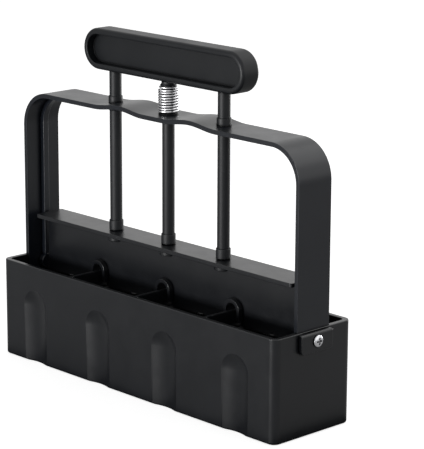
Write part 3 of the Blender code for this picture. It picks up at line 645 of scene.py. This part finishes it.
class MakeMouldBox(bpy.types.Operator):
    """Make the mould box: fluted walls, four cells, end pockets and pads"""
    bl_idname = "soil_blocker.mould_box"
    bl_label = "Mould Box"

    def execute(self, context):
        sizes = context.scene.blocker_box
        high = low_high("mould_box")[1]
        half_x, half_y, top = high.x - sizes.pad_thickness, high.y, high.z
        box = loft("mould_box_shell", self.skin(sizes, half_x, half_y, top))
        divider_top = top - sizes.divider_drop
        cell_x = half_x - sizes.wall
        cell_y = half_y - sizes.wall
        strap_low, strap_high = low_high("frame_strap")
        combine(box, [self.pad(sizes, high.x, top, side) for side in (-1, 1)], "UNION")
        combine(box, [self.trim(sizes, cell_x, cell_y, divider_top, top)], "DIFFERENCE")
        pitch = (2 * cell_x + sizes.divider) / sizes.cells
        cells = []
        for i in range(sizes.cells):
            x0 = -cell_x + i * pitch
            x1 = x0 + pitch - sizes.divider
            cells.append(self.cell_tool(sizes, x0, x1, cell_y, divider_top, i > 0, i < sizes.cells - 1))
        combine(box, cells, "DIFFERENCE")
        combine(box, [self.end_slot(
            "pocket", side, cell_x - OVERRUN, strap_high.x + GAP / 2,
            strap_high.y + GAP, 0.0004, strap_low.z - GAP, top + OVERRUN) for side in (-1, 1)], "DIFFERENCE")
        flutes = []
        for i in range(sizes.cells):
            x = (i - (sizes.cells - 1) / 2) * pitch
            flutes += [self.flute_tool(sizes, x, half_y, top, side) for side in (-1, 1)]
        combine(box, flutes, "DIFFERENCE")
        combine(box, [self.end_slot(
            "brow_groove", side, half_x - sizes.brow_depth, half_x + OVERRUN,
            sizes.pad_width / 2 - 0.003, 0.0002, top - sizes.pad_drop + 2 * HAIR, top - GAP)
            for side in (-1, 1)], "DIFFERENCE")
        finish_piece(box, moulded_polypropylene(context.scene.blocker_finishes),
                     "frame", ["mould_box"])
        return {"FINISHED"}

    def skin(self, sizes, half_x, half_y, top):
        """Rings of the outer wall from the bottom edge to the rim."""
        rings = []
        for inset, z in rounded_ends(0.0, top, sizes.rim_round, sizes.foot_round, 6):
            outline = rectangle(inset - half_x, half_x - inset, inset - half_y, half_y - inset,
                                sizes.corner - inset, 12)
            rings.append(at_height(outline, z))
        return rings

    def trim(self, sizes, cell_x, cell_y, divider_top, top):
        """The space over the dividers, flared so that it leaves a rounded rim."""
        r = sizes.rim_round
        rows = [(0.0, divider_top), (0.0, top - r - 2 * HAIR)]
        rows += [(r - math.sqrt(r * r - (r * t) ** 2), top - r + r * t) for t in (0.25, 0.5, 0.75, 0.92, 1.0)]
        rows.append((r, top + OVERRUN))
        return loft("trim", [
            at_height(rectangle(-cell_x - g, cell_x + g, -cell_y - g, cell_y + g, sizes.cell_corner + g), z)
            for g, z in rows])

    def end_slot(self, name, side, inner, outer, half_width, corner, low_z, high_z):
        """A straight-sided space at one end of the box."""
        x0, x1 = sorted((side * inner, side * outer))
        outline = rectangle(x0, x1, -half_width, half_width, corner, 3)
        return loft(name, [at_height(outline, z) for z in (low_z, high_z)])

    def pad(self, sizes, face_x, top, side):
        """A pad on an end wall: its top edge is well rounded, its other edges only softened."""
        high_z = top - sizes.pad_drop
        low_z = high_z - sizes.pad_height
        edge, brow, upper_corner = 0.0003, sizes.pad_brow, 0.0005
        depths = [brow * (1 - math.sin(math.radians(a))) for a in (0, 15, 30, 45, 55)]
        depths += [edge * (1 - math.sin(math.radians(a))) for a in (0, 20, 40, 60, 80, 90)]
        rings = []
        for depth in [sizes.pad_thickness + EMBED] + depths:
            side_inset, top_inset = [
                radius - math.sqrt(radius ** 2 - max(radius - depth, 0) ** 2) for radius in (edge, brow)]
            half = sizes.pad_width / 2 - side_inset
            foot, crown = low_z + side_inset, high_z - top_inset
            lower = sizes.pad_corner - side_inset
            outline = arc(half - upper_corner, crown - upper_corner, upper_corner, 0, 90, 4)
            outline += arc(upper_corner - half, crown - upper_corner, upper_corner, 90, 180, 4)
            outline += arc(lower - half, foot + lower, lower, 180, 270, 6)
            outline += arc(half - lower, foot + lower, lower, 270, 360, 6)
            rings.append([(side * (face_x - depth), y, z) for y, z in outline])
        return loft("pad", rings)

    def flute_tool(self, sizes, x, half_y, top, side):
        """The space of one flute: an arch with a round hollow section that a small lip leads into."""
        half = sizes.flute_width / 2
        shoulder = top - sizes.flute_land - half
        depth, lip = sizes.flute_depth, sizes.flute_lip
        slope = 2 * math.atan(depth / half)
        radius = half / math.sin(slope)
        rows = [(-2 * lip, half_y + OVERRUN), (-2 * lip, half_y + HAIR)]
        for i in range(LIP_STEPS + 1):
            turn = slope * i / LIP_STEPS
            rows.append((lip * (math.sin(turn) - math.sin(slope)), half_y - lip * (1 - math.cos(turn))))
        start, sunk = rows[-1][0], half_y - rows[-1][1]
        for i in range(1, HOLLOW_STEPS + 1):
            inset = (half - start) * min(i / HOLLOW_STEPS, 0.995)
            away = (half - inset) / half
            fall = radius * (math.sqrt(1 - (away * math.sin(slope)) ** 2) - math.cos(slope))
            rows.append((start + inset, half_y - sunk - (depth - sunk) * fall / depth))
        return plate("flute", lambda d: arch(half - d, shoulder + OVERRUN, 44), rows,
                     facing_y(x, shoulder, side))

    def cell_tool(self, sizes, x0, x1, cell_y, divider_top, round_left, round_right):
        """The space of one cell, flared so that it leaves rounded edges top and bottom."""
        r, foot = sizes.rim_round, 0.0004
        rows = [(foot, -OVERRUN), *rounded_ends(0.0, divider_top, r, foot), (r, divider_top + 0.0002)]
        rings = []
        for flare, z in rows:
            is_foot = z < divider_top / 2
            left = flare if round_left or is_foot else 0.0
            right = flare if round_right or is_foot else 0.0
            across = flare if is_foot else 0.0
            rings.append(at_height(rectangle(
                x0 - left, x1 + right, -cell_y - across, cell_y + across, sizes.cell_corner), z))
        return loft("cell", rings)


class MakeFrameStrap(bpy.types.Operator):
    """Make the strap frame: legs, bends, waved bar, inner ribs and screw bosses"""
    bl_idname = "soil_blocker.frame_strap"
    bl_label = "Frame Strap"

    def execute(self, context):
        sizes = context.scene.blocker_strap
        low, high = low_high("frame_strap")
        half = sizes.thickness / 2
        bar_z = high.z - sizes.wave_height - half
        leg_x = high.x - half
        bend = sizes.bend - half
        corner_x = leg_x - bend
        corner_z = bar_z - bend

        def wave(x):
            away = abs(abs(x) - sizes.wave_centre) / sizes.wave_reach
            return 0.0 if away >= 1 else sizes.wave_height * math.cos(away * math.pi / 2) ** 2

        path = [(-leg_x, low.z), (-leg_x, (low.z + corner_z) / 2)]
        path += arc(-corner_x, corner_z, bend, 180, 90, BEND_STEPS)
        outer = sizes.wave_centre + sizes.wave_reach
        inner = sizes.wave_centre - sizes.wave_reach
        for start, end in ((-outer, -inner), (inner, outer)):
            along_bar = [start + (end - start) * i / WAVE_STEPS for i in range(WAVE_STEPS + 1)]
            path += [(x, bar_z + wave(x)) for x in along_bar]
        path += arc(corner_x, corner_z, bend, 90, 0, BEND_STEPS)
        path += [(leg_x, (low.z + corner_z) / 2), (leg_x, low.z)]
        section = rectangle(low.y, high.y, -half, half, sizes.edge, 5)
        rings = []
        for i, (x, z) in enumerate(path):
            before = Vector(path[max(i - 1, 0)])
            after = Vector(path[min(i + 1, len(path) - 1)])
            along = (after - before).normalized()
            normal = Vector((-along.y, along.x))
            rings.append([(x + normal.x * t, y, z + normal.y * t) for y, t in section])
        strap = loft("frame_strap_shell", rings)
        screw = middle("frame_screw_right")
        ribs = [self.rib(sizes, side, leg_x - half, corner_x, corner_z, bend - half, screw.z)
                for side in (-1, 1)]
        boss_low = low_high("frame_screw_right")[0]
        profile = bar_profile(sizes.boss_radius, boss_low.x, leg_x - half + EMBED, HAIR, 0.0004)
        for side in (-1, 1):
            ribs.append(turned("boss", profile, facing_x(screw.z, side), steps=48))
        combine(strap, ribs, "UNION")
        tools = []
        for node in numbered("guide_bush", 3):
            bush_low, bush_high = low_high(node)
            radius = radius_of(node) + FIT
            tools.append(turned("bush_hole", [(radius, bush_low.z - OVERRUN), (radius, bush_high.z)],
                                upright(middle(node).x)))
        radius = SCREW_SHANK + GAP
        for side in (-1, 1):
            tools.append(turned("screw_hole", [(radius, boss_low.x + 0.0006), (radius, high.x + OVERRUN)],
                                facing_x(screw.z, side), steps=32))
        combine(strap, tools, "DIFFERENCE")
        finish_piece(strap, moulded_nylon(context.scene.blocker_finishes),
                     "frame", ["frame_strap"])
        return {"FINISHED"}

    def rib(self, sizes, side, inner_x, corner_x, corner_z, inner_bend, foot_z):
        """The rib up one leg, which fades out round the bend."""
        half = sizes.rib_width / 2
        stations = [((inner_x, z), (-1, 0), sizes.rib_height) for z in (foot_z, corner_z)]
        for i in range(1, RIB_STEPS + 1):
            turn = i / RIB_STEPS
            angle = math.radians(90 * turn)
            rise = sizes.rib_height * math.sqrt(max(math.cos(angle), 0.0)) - turn * EMBED / 2
            point = (corner_x + inner_bend * math.cos(angle), corner_z + inner_bend * math.sin(angle))
            stations.append((point, (-math.cos(angle), -math.sin(angle)), rise))
        rings = []
        for (x, z), (nx, nz), rise in stations:
            soft = min(sizes.rib_edge, 0.8 * (rise + EMBED))
            section = [(-half, -EMBED), (half, -EMBED)]
            section += arc(half - soft, rise - soft, soft, 0, 90, 8)
            section += arc(-half + soft, rise - soft, soft, 90, 180, 8)
            rings.append([(side * (x + nx * d), y, z + nz * d) for y, d in section])
        return loft("rib", rings)


class MakeFrameScrews(bpy.types.Operator):
    """Make the two cross-head screws at the ends of the box"""
    bl_idname = "soil_blocker.frame_screws"
    bl_label = "Frame Screws"

    def execute(self, context):
        low, high = low_high("frame_screw_right")
        head, head_height, lip = (high.z - low.z) / 2, 0.0014, 0.0002
        seat = high.x - head_height
        profile = [(SCREW_SHANK, low.x + 0.0008), (SCREW_SHANK, seat), (head - lip, seat), (head, seat + lip)]
        profile += [(head * math.sin(math.radians(a)), seat + head_height * (
            0.25 + 0.75 * math.cos(math.radians(a)))) for a in (84, 76, 66, 56, 46, 36, 26, 16, 8, 2)]
        screw_z = middle("frame_screw_right").z
        screw = turned("frame_screw_pair", profile, facing_x(screw_z), steps=48)
        combine(screw, cross_recess(high.x, *FRAME_RECESS, facing_x(screw_z)), "DIFFERENCE")
        zinc = zinc_screw_steel(context.scene.blocker_finishes)
        grow(screw, row_tree(), {
            "Count": 2, "Start": (0.0, 0.0, 0.0), "Step": (0.0, 0.0, 0.0), "Turn": math.pi, "Material": zinc})
        finish_piece(screw, zinc, "frame", ["frame_screw_right", "frame_screw_left"], 35)
        return {"FINISHED"}


def cross_recess(face, reach, half_width, depth, place):
    """Two bars and the four deeper pits at their ends that cut a cross recess into a screw's head."""
    tools = []
    pit = 0.27 * reach
    for turn in (0, 1):
        rings = []
        for share, height in ((0.8, face - 0.6 * depth), (1.0, face + 0.0002), (1.0, face + OVERRUN)):
            long_side, short_side = reach * share, half_width * share
            u, v = (long_side, short_side) if turn == 0 else (short_side, long_side)
            height += turn * HAIR
            rings.append([place(a, b, height) for a, b in rectangle(-u, u, -v, v, short_side * 0.5, 3)])
        tools.append(loft("recess_bar", rings))
        for side in (-1, 1):
            u, v = (side * (reach - pit), 0.0) if turn == 0 else (0.0, side * (reach - pit))
            tools.append(loft("recess_pit", [
                [place(a, b, height) for a, b in rectangle(
                    u - wide, u + wide, v - wide, v + wide, wide * 0.6, 3)]
                for wide, height in (
                    (0.8 * pit, face - depth), (pit, face - 0.3 * depth), (pit, face + OVERRUN))]))
    return tools


class MakeGuideBushes(bpy.types.Operator):
    """Make the three bushes that guide the rods through the bar"""
    bl_idname = "soil_blocker.guide_bushes"
    bl_label = "Guide Bushes"

    def execute(self, context):
        nodes = numbered("guide_bush", 3)
        low, high = low_high(nodes[0])
        bore = radius_of("push_rod_1") + FIT
        flare = [(bore + wide, low.z + rise) for wide, rise in (
            (0.0004, -0.0012), (0.00055, -0.0009), (0.0008, -0.0005), (0.0012, -0.0001), (0.0012, 0.0001))]
        lip = 0.00025
        crown = bar_profile(radius_of(nodes[0]), flare[-1][1], high.z, lip, HAIR)
        crown += [(bore + inset, z) for inset, z in rounded_ends(low.z, high.z, lip)][:FILLET_STEPS:-1]
        bush = turned("guide_bushes", flare + crown + [(bore, flare[0][1])], upright(), True)
        acetal = turned_acetal(context.scene.blocker_finishes)
        finish_piece(row_of(bush, nodes, acetal), acetal, "frame", nodes)
        return {"FINISHED"}


class MakePushRods(bpy.types.Operator):
    """Make the three push rods and the sleeves at their feet"""
    bl_idname = "soil_blocker.push_rods"
    bl_label = "Push Rods"

    def execute(self, context):
        finishes = context.scene.blocker_finishes
        nodes = numbered("push_rod", 3)
        low, high = low_high(nodes[0])
        radius = radius_of(nodes[0])
        rod = turned("push_rods", bar_profile(radius, low.z, high.z, 0.0004), upright())
        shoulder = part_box("handle")[0][2] + SOCKET_DEPTH - GAP
        outline = rectangle(-2 * radius, 2 * radius, -2 * radius, -0.0002, 0.0001, 2)
        flat = loft("flat", [at_height(outline, z) for z in (shoulder, high.z + OVERRUN)])
        combine(rod, [flat], "DIFFERENCE")
        coat = coated_rod(finishes)
        finish_piece(row_of(rod, nodes, coat), coat, "plunger", nodes)
        nodes = numbered("rod_sleeve", 3)
        low, high = low_high(nodes[0])
        sleeve = turned("rod_sleeves", tube_profile(
            radius + FIT, radius_of(nodes[0]), low.z, high.z, 0.0003), upright(), True)
        acetal = turned_acetal(finishes)
        finish_piece(row_of(sleeve, nodes, acetal), acetal, "plunger", nodes)
        return {"FINISHED"}


class MakePusherBeam(bpy.types.Operator):
    """Make the T-shaped pusher beam with its arches and bosses"""
    bl_idname = "soil_blocker.pusher_beam"
    bl_label = "Pusher Beam"

    def execute(self, context):
        sizes = context.scene.blocker_plunger
        box = context.scene.blocker_box
        soft = sizes.softness
        low, high = low_high("pusher_beam")
        flange_bottom = high.z - sizes.flange_thickness
        inside = high.z - sizes.flange_thickness / 2
        beam = plate(
            "pusher_beam_shell",
            lambda d: rectangle(low.x + d, high.x - d, low.y + d, high.y - d, sizes.flange_corner - 0.8 * d),
            rounded_ends(flange_bottom, high.z, sizes.flange_edge), upright())
        web_low = low.z + GAP
        parts = [plate("web", lambda d: stadium(sizes.web_length / 2 - d, sizes.web_thickness / 2 - d, 12),
                       rounded_ends(web_low, inside, HAIR, soft), upright())]
        profile = bar_profile(sizes.rod_boss, flange_bottom - sizes.rod_boss_height, inside, HAIR, soft)
        for node in numbered("push_rod", 3):
            parts.append(turned("rod_boss", profile, upright(middle(node).x), steps=48))
        profile = bar_profile(sizes.pin_boss, low.z, low.z + sizes.pin_boss_height, soft)
        cells = [middle(node).x for node in numbered("press_plate", 4)]
        for x in cells:
            parts.append(turned("pin_boss", profile, upright(x), steps=48))
        bore = sizes.saddle_radius - sizes.saddle_wall
        mould_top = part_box("mould_box")[1][2]
        stroke = frame["joints"][0]["range_m"][1]
        centre_z = mould_top - box.divider_drop + stroke + GAP - bore
        half_depth = sizes.saddle_depth / 2
        drop = centre_z - web_low + OVERRUN
        flare = sizes.saddle_edge / 2
        rows = [(-flare, -half_depth - OVERRUN), (-flare, -half_depth), (0, -half_depth + flare),
                (0, half_depth - flare), (-flare, half_depth), (-flare, half_depth + OVERRUN)]
        slots = []
        for x in [(left + right) / 2 for left, right in zip(cells, cells[1:])]:
            parts.append(plate(
                "saddle",
                lambda d: [(u * (1 - d / sizes.saddle_radius), v * (1 - d / sizes.saddle_radius))
                           for u, v in arch(sizes.saddle_radius, 0.006)],
                rounded_ends(-half_depth, half_depth, sizes.saddle_edge), facing_y(x, centre_z)))
            slots.append(plate("slot", lambda d: arch(bore - d, drop), rows, facing_y(x, centre_z)))
        combine(beam, parts, "UNION")
        combine(beam, slots, "DIFFERENCE")
        finish_piece(beam, moulded_polypropylene(context.scene.blocker_finishes),
                     "plunger", ["pusher_beam"])
        return {"FINISHED"}


class MakePressPlates(bpy.types.Operator):
    """Make the press plates and the dibble pins under them"""
    bl_idname = "soil_blocker.press_plates"
    bl_label = "Press Plates and Pins"

    def execute(self, context):
        plastic = moulded_polypropylene(context.scene.blocker_finishes)
        nodes = numbered("press_plate", 4)
        low, high = low_high(nodes[0])
        half_x, corner, edge = radius_of(nodes[0]), 0.0025, 0.0005
        slab = plate(
            "press_plates",
            lambda d: rectangle(-half_x + d, half_x - d, low.y + d, high.y - d, corner - 0.8 * d),
            rounded_ends(low.z, high.z, edge), upright())
        finish_piece(row_of(slab, nodes, plastic), plastic, "plunger", nodes)
        nodes = numbered("dibble_pin", 4)
        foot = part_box(nodes[0])[0][2]
        shank, lip, tip, shoulder = 0.0019, 0.0002, 0.003, foot + 0.010
        profile = bar_profile(radius_of(nodes[0]), foot, shoulder, lip, tip, 8)
        profile += [(shank, shoulder), (shank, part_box("pusher_beam")[0][2] + 0.0008)]
        pin = turned("dibble_pins", profile, upright(), steps=48)
        finish_piece(row_of(pin, nodes, plastic), plastic, "plunger", nodes)
        return {"FINISHED"}


class MakeHandle(bpy.types.Operator):
    """Make the round-ended handle and the screws in its back"""
    bl_idname = "soil_blocker.handle"
    bl_label = "Handle"

    def execute(self, context):
        sizes = context.scene.blocker_handle
        finishes = context.scene.blocker_finishes
        low, high = low_high("handle")
        half_x, half_z = high.x, (high.z - low.z) / 2
        front, back = low.y, high.y
        panel = front + sizes.front_recess
        back_panel = back - sizes.rear_recess
        rim, edge, foot, front_lip, back_lip = sizes.rim, sizes.edge, 0.0003, 0.0007, 0.0005
        rows = arc(rim + foot, panel - foot, foot, 90, 180, 4)
        rows += arc(rim - front_lip, front + front_lip, front_lip, 360, 270, 5)
        rows += arc(edge, front + edge, edge, 270, 180, 8)
        rows += arc(edge, back - edge, edge, 180, 90, 8)
        rows += arc(rim - back_lip, back - back_lip, back_lip, 90, 0, 4)
        rows += arc(rim + foot, back_panel + foot, foot, 180, 270, 3)
        handle = plate("handle_grip", lambda d: stadium(half_x - d, half_z - d, 28), rows,
                       facing_y(0.0, (high.z + low.z) / 2))
        sockets = []
        for node in numbered("push_rod", 3):
            radius = radius_of(node) + GAP
            sockets.append(turned("socket", [(radius, low.z - OVERRUN), (radius, low.z + SOCKET_DEPTH)],
                                  upright(middle(node).x)))
        combine(handle, sockets, "DIFFERENCE")
        finish_piece(handle, grip_nylon(finishes), "plunger", ["handle"])
        nodes = numbered("handle_screw", 3)
        high = low_high(nodes[0])[1]
        head, shank, seat = radius_of(nodes[0]), 0.0011, high.y - 0.0008
        profile = [(shank, back_panel - 0.002), (shank, seat), (head - 0.0001, seat), (head, seat + 0.0001)]
        profile += [(head - inset, high.y - drop) for inset, drop in (
            (0.0, 0.0004), (0.0001, 0.00022), (0.00028, 0.0001), (0.0006, 0.0))]
        screw_z = middle(nodes[0]).z
        screw = turned("handle_screws", profile, facing_y(0.0, screw_z), steps=40)
        combine(screw, cross_recess(high.y, *HANDLE_RECESS, facing_y(0.0, screw_z)), "DIFFERENCE")
        zinc = zinc_screw_steel(finishes)
        finish_piece(row_of(screw, nodes, zinc), zinc, "plunger", nodes, 35)
        return {"FINISHED"}


class MakeSpring(bpy.types.Operator):
    """Make the return spring, its washers and the collar that presses on it"""
    bl_idname = "soil_blocker.spring"
    bl_label = "Spring"

    def execute(self, context):
        sizes = context.scene.blocker_spring
        finishes = context.scene.blocker_finishes
        low, high = low_high("return_spring")
        wire = sizes.wire / 2
        nickel = spring_steel(finishes)
        coil = bpy.data.objects.new("spring_coil", bpy.data.meshes.new("spring_coil"))
        context.scene.collection.objects.link(coil)
        washer = Vector(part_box("spring_washer_lower")[1])
        sink = 0.00028  # the lower washer lies on the bar
        closed = sizes.wire + 2 * HAIR
        seat, top = washer.z - sink + 3 * HAIR, high.z + 10 * HAIR
        grow(coil, coil_tree(), {
            "Coil Radius": washer.x - wire, "Wire Radius": wire, "Closed Pitch": closed,
            "Rise": top - seat - sizes.wire - 2 * closed, "Turns": sizes.turns,
            "Start Angle": sizes.start, "Bottom": seat, "Material": nickel})
        finish_piece(coil, nickel, "frame", ["return_spring"])
        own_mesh(coil)
        acetal = turned_acetal(finishes)
        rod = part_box("push_rod_2")[1][0]
        # The lower washer is black acetal: partly a real washer, partly a dark ring put where the shade under
        # the last turn falls.
        for node, body, slot, material, bore, down in (
                ("spring_washer_lower", "frame", "bush", acetal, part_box("guide_bush_2")[1][0] + GAP, sink),
                ("spring_washer_upper", "plunger", "spring", nickel, rod + 0.0001, 0.0)):
            low, high = low_high(node)
            profile = tube_profile(bore, high.x - GAP, low.z - down, high.z - down, 0.00012)
            finish_piece(turned(node + "_ring", profile, upright(), True), material, body, [node])
        low, high = low_high("spring_collar")
        bore, lip, foot, step = rod + 0.0001, 0.00015, high.x, 0.0007
        neck, rise = foot - step, high.z - low.z
        profile = [(bore, low.z), (foot - lip, low.z), (foot, low.z + lip), (foot, low.z + 0.2 * rise),
                   (neck + step / 2, low.z + 0.34 * rise), (neck, low.z + 0.52 * rise), (neck, high.z - lip),
                   (neck - lip, high.z), (bore, high.z)]
        collar = turned("spring_collar_ring", profile, upright(), True)
        finish_piece(collar, acetal, "plunger", ["spring_collar"])
        return {"FINISHED"}


# Studio: the camera is fitted to the photograph, in degrees, metres and millimetres

VIEW_AZIMUTH, VIEW_ELEVATION = 47.198, 14.061
VIEW_DISTANCE = 1.159789
VIEW_RIGHT, VIEW_HEIGHT = 0.002108, 0.091743
LENS_MM, SENSOR_MM, LENS_SHIFT = 170.86, 36, 0.0883
LAMPS = (  # name, place, width, height, watts
    ("front_strip_lamp", (-0.10, -1.20, 0.13), 0.5, 0.2, 10.9),
    ("back_lamp", (0.35, 0.90, 1.15), 1.1, 1.1, 3.1),
    ("end_lamp", (1.30, 0.30, 0.50), 0.8, 0.8, 1.8),
    ("back_strip_lamp", (0.00, 1.20, 0.13), 0.5, 0.2, 5.0),
)
LAMP_AIM = (0, 0, 0.09)
AMBIENT = 0.35  # the surroundings as light
FLAG_WAY = (-0.985, -0.174, 0.0)  # where gloss sees the surroundings dimmed
FLAG_EDGE, FLAG_LEVEL = (0.62, 0.90), 0.4
FLOOR_HALF, FLOOR_DROP = 4.0, 0.0002
CONTACT = (0.002, 0.011)  # how far from the box the painted contact shadow, which all rays but the camera's see on the floor, goes from dark to plain
CONTACT_TONE = (0.05, 0.60)
FLOOR_TONE, FLOOR_LIFT = 0.8, 0.73  # the floor for the camera: card, and the light that makes it white
GLOSS_LIFT = 0.02


class MakeStudio(bpy.types.Operator):
    """Make the camera, the lamps, the world and the floor"""
    bl_idname = "soil_blocker.studio"
    bl_label = "Studio"

    def execute(self, context):
        scene = context.scene
        scene.view_settings.view_transform = "Standard"
        azimuth, elevation = math.radians(VIEW_AZIMUTH), math.radians(VIEW_ELEVATION)
        right = Vector((math.cos(azimuth), math.sin(azimuth), 0))
        back = Vector((math.sin(azimuth) * math.cos(elevation), -math.cos(azimuth) * math.cos(elevation),
                       math.sin(elevation)))
        target = right * VIEW_RIGHT + Vector((0, 0, VIEW_HEIGHT))
        lens = bpy.data.cameras.new("camera")
        lens.lens = LENS_MM
        lens.sensor_width = SENSOR_MM
        lens.shift_x = LENS_SHIFT
        lens.clip_end = 50
        camera = bpy.data.objects.new("camera", lens)
        camera.location = target + back * VIEW_DISTANCE
        camera.rotation_euler = (-back).to_track_quat("-Z", "Y").to_euler()
        scene.collection.objects.link(camera)
        scene.camera = camera
        for lamp in LAMPS:
            self.lamp(scene, *lamp)
        colour = tuple(scene.blocker_finishes.backdrop)
        self.surroundings(scene, colour)
        self.floor(colour)
        return {"FINISHED"}

    def lamp(self, scene, name, place, wide, high, power):
        """A soft lamp aimed at the middle of the object."""
        light = bpy.data.lights.new(name, "AREA")
        light.shape = "RECTANGLE"
        light.size, light.size_y = wide, high
        light.energy = power
        thing = bpy.data.objects.new(name, light)
        thing.location = place
        aim = Vector(LAMP_AIM) - Vector(place)
        thing.rotation_euler = aim.to_track_quat("-Z", "Y").to_euler()
        scene.collection.objects.link(thing)

    def surroundings(self, scene, colour):
        """White for the camera and for gloss, which sees its left dimmed, and a lower level as light."""
        world = bpy.data.worlds.new("studio")
        scene.world = world
        world.use_nodes = True
        tree = world.node_tree
        tree.nodes.clear()
        rays = add_node(tree, "ShaderNodeLightPath").outputs
        seen = number(tree, "MAXIMUM", rays["Is Camera Ray"], rays["Is Glossy Ray"])
        seen = number(tree, "MAXIMUM", seen, rays["Is Transmission Ray"])
        way = dot(tree, add_node(tree, "ShaderNodeTexCoord").outputs["Generated"], FLAG_WAY)
        flag = ramp(tree, way, *FLAG_EDGE, 1.0, FLAG_LEVEL, "SMOOTHSTEP")
        bright = number(tree, "MAXIMUM", flag, rays["Is Camera Ray"])
        white = add_node(tree, "ShaderNodeBackground", {"Color": colour, "Strength": bright})
        dim = add_node(tree, "ShaderNodeBackground", {"Color": colour, "Strength": AMBIENT})
        both = add_node(tree, "ShaderNodeMixShader", {0: seen, 1: dim.outputs[0], 2: white.outputs[0]})
        add_node(tree, "ShaderNodeOutputWorld", {"Surface": both.outputs[0]})

    def floor(self, colour):
        """White card with a faint shadow for the camera; for gloss it is dimmer, with a painted contact
        shadow beside the box.
        """
        work = bmesh.new()
        bmesh.ops.create_grid(work, x_segments=1, y_segments=1, size=FLOOR_HALF)
        floor = mesh_object("floor", work)
        floor.location.z = -FLOOR_DROP
        material = bpy.data.materials.new("white_card_floor")
        material.use_nodes = True
        tree = material.node_tree
        tree.nodes.clear()
        rays = add_node(tree, "ShaderNodeLightPath").outputs
        spot = add_node(tree, "ShaderNodeTexCoord").outputs["Object"]
        spot = add_node(tree, "ShaderNodeSeparateXYZ", {0: spot}).outputs
        away = [number(tree, "SUBTRACT", number(tree, "ABSOLUTE", spot[axis]), reach)
                for axis, reach in (("X", CAD_BOUNDS[1][0]), ("Y", CAD_BOUNDS[1][1]))]
        # Painted shadow: for all rays but the camera's, the card is darker close to the box.
        painted_contact_shadow = ramp(tree, number(tree, "MAXIMUM", *away), *CONTACT, *CONTACT_TONE, "SMOOTHSTEP")
        tone = number(tree, "MAXIMUM", painted_contact_shadow, number(tree, "MULTIPLY", rays["Is Camera Ray"], FLOOR_TONE))
        gloss = number(tree, "MAXIMUM", rays["Is Glossy Ray"], rays["Is Transmission Ray"])
        level = number(tree, "MULTIPLY_ADD", rays["Is Camera Ray"], FLOOR_LIFT,
                       number(tree, "MULTIPLY", gloss, GLOSS_LIFT))
        card = add_node(tree, "ShaderNodeBsdfDiffuse", {"Color": scale(tree, colour[:3], tone)})
        lift = add_node(tree, "ShaderNodeEmission", {"Color": colour, "Strength": level})
        lifted = add_node(tree, "ShaderNodeAddShader", {0: card.outputs[0], 1: lift.outputs[0]})
        add_node(tree, "ShaderNodeOutputMaterial", {"Surface": lifted.outputs[0]})
        floor.data.materials.append(material)


class SoilBlockerPanel(bpy.types.Panel):
    """Sizes, finishes and pieces of the soil blocker"""
    bl_idname = "VIEW3D_PT_soil_blocker"
    bl_label = "Soil Blocker"
    bl_space_type = "VIEW_3D"
    bl_region_type = "UI"
    bl_category = "Soil Blocker"

    def draw(self, context):
        for name in GROUPS:
            group = getattr(context.scene, name)
            column = self.layout.column(align=True)
            for item in group.bl_rna.properties:
                if not item.is_readonly and item.identifier != "name":
                    column.prop(group, item.identifier)
        for operator in OPERATORS:
            self.layout.operator(operator.bl_idname)


GROUPS = {
    "blocker_box": BoxSizes,
    "blocker_strap": StrapSizes,
    "blocker_plunger": PlungerSizes,
    "blocker_handle": HandleSizes,
    "blocker_spring": SpringSizes,
    "blocker_finishes": Finishes,
}
OPERATORS = (
    MakeMouldBox,
    MakeFrameStrap,
    MakeFrameScrews,
    MakeGuideBushes,
    MakePushRods,
    MakePusherBeam,
    MakePressPlates,
    MakeHandle,
    MakeSpring,
    MakeStudio,
)
CLASSES = (*GROUPS.values(), *OPERATORS, SoilBlockerPanel)


def register():
    for item in CLASSES:
        bpy.utils.register_class(item)
    for name, group in GROUPS.items():
        setattr(bpy.types.Scene, name, PointerProperty(type=group))


def unregister():
    for name in GROUPS:
        delattr(bpy.types.Scene, name)
    for item in reversed(CLASSES):
        bpy.utils.unregister_class(item)


def main():
    register()
    bpy.ops.soil_blocker.mould_box()
    bpy.ops.soil_blocker.frame_strap()
    bpy.ops.soil_blocker.frame_screws()
    bpy.ops.soil_blocker.guide_bushes()
    bpy.ops.soil_blocker.push_rods()
    bpy.ops.soil_blocker.pusher_beam()
    bpy.ops.soil_blocker.press_plates()
    bpy.ops.soil_blocker.handle()
    bpy.ops.soil_blocker.spring()
    bpy.ops.soil_blocker.studio()


if __name__ == "__main__":
    main()
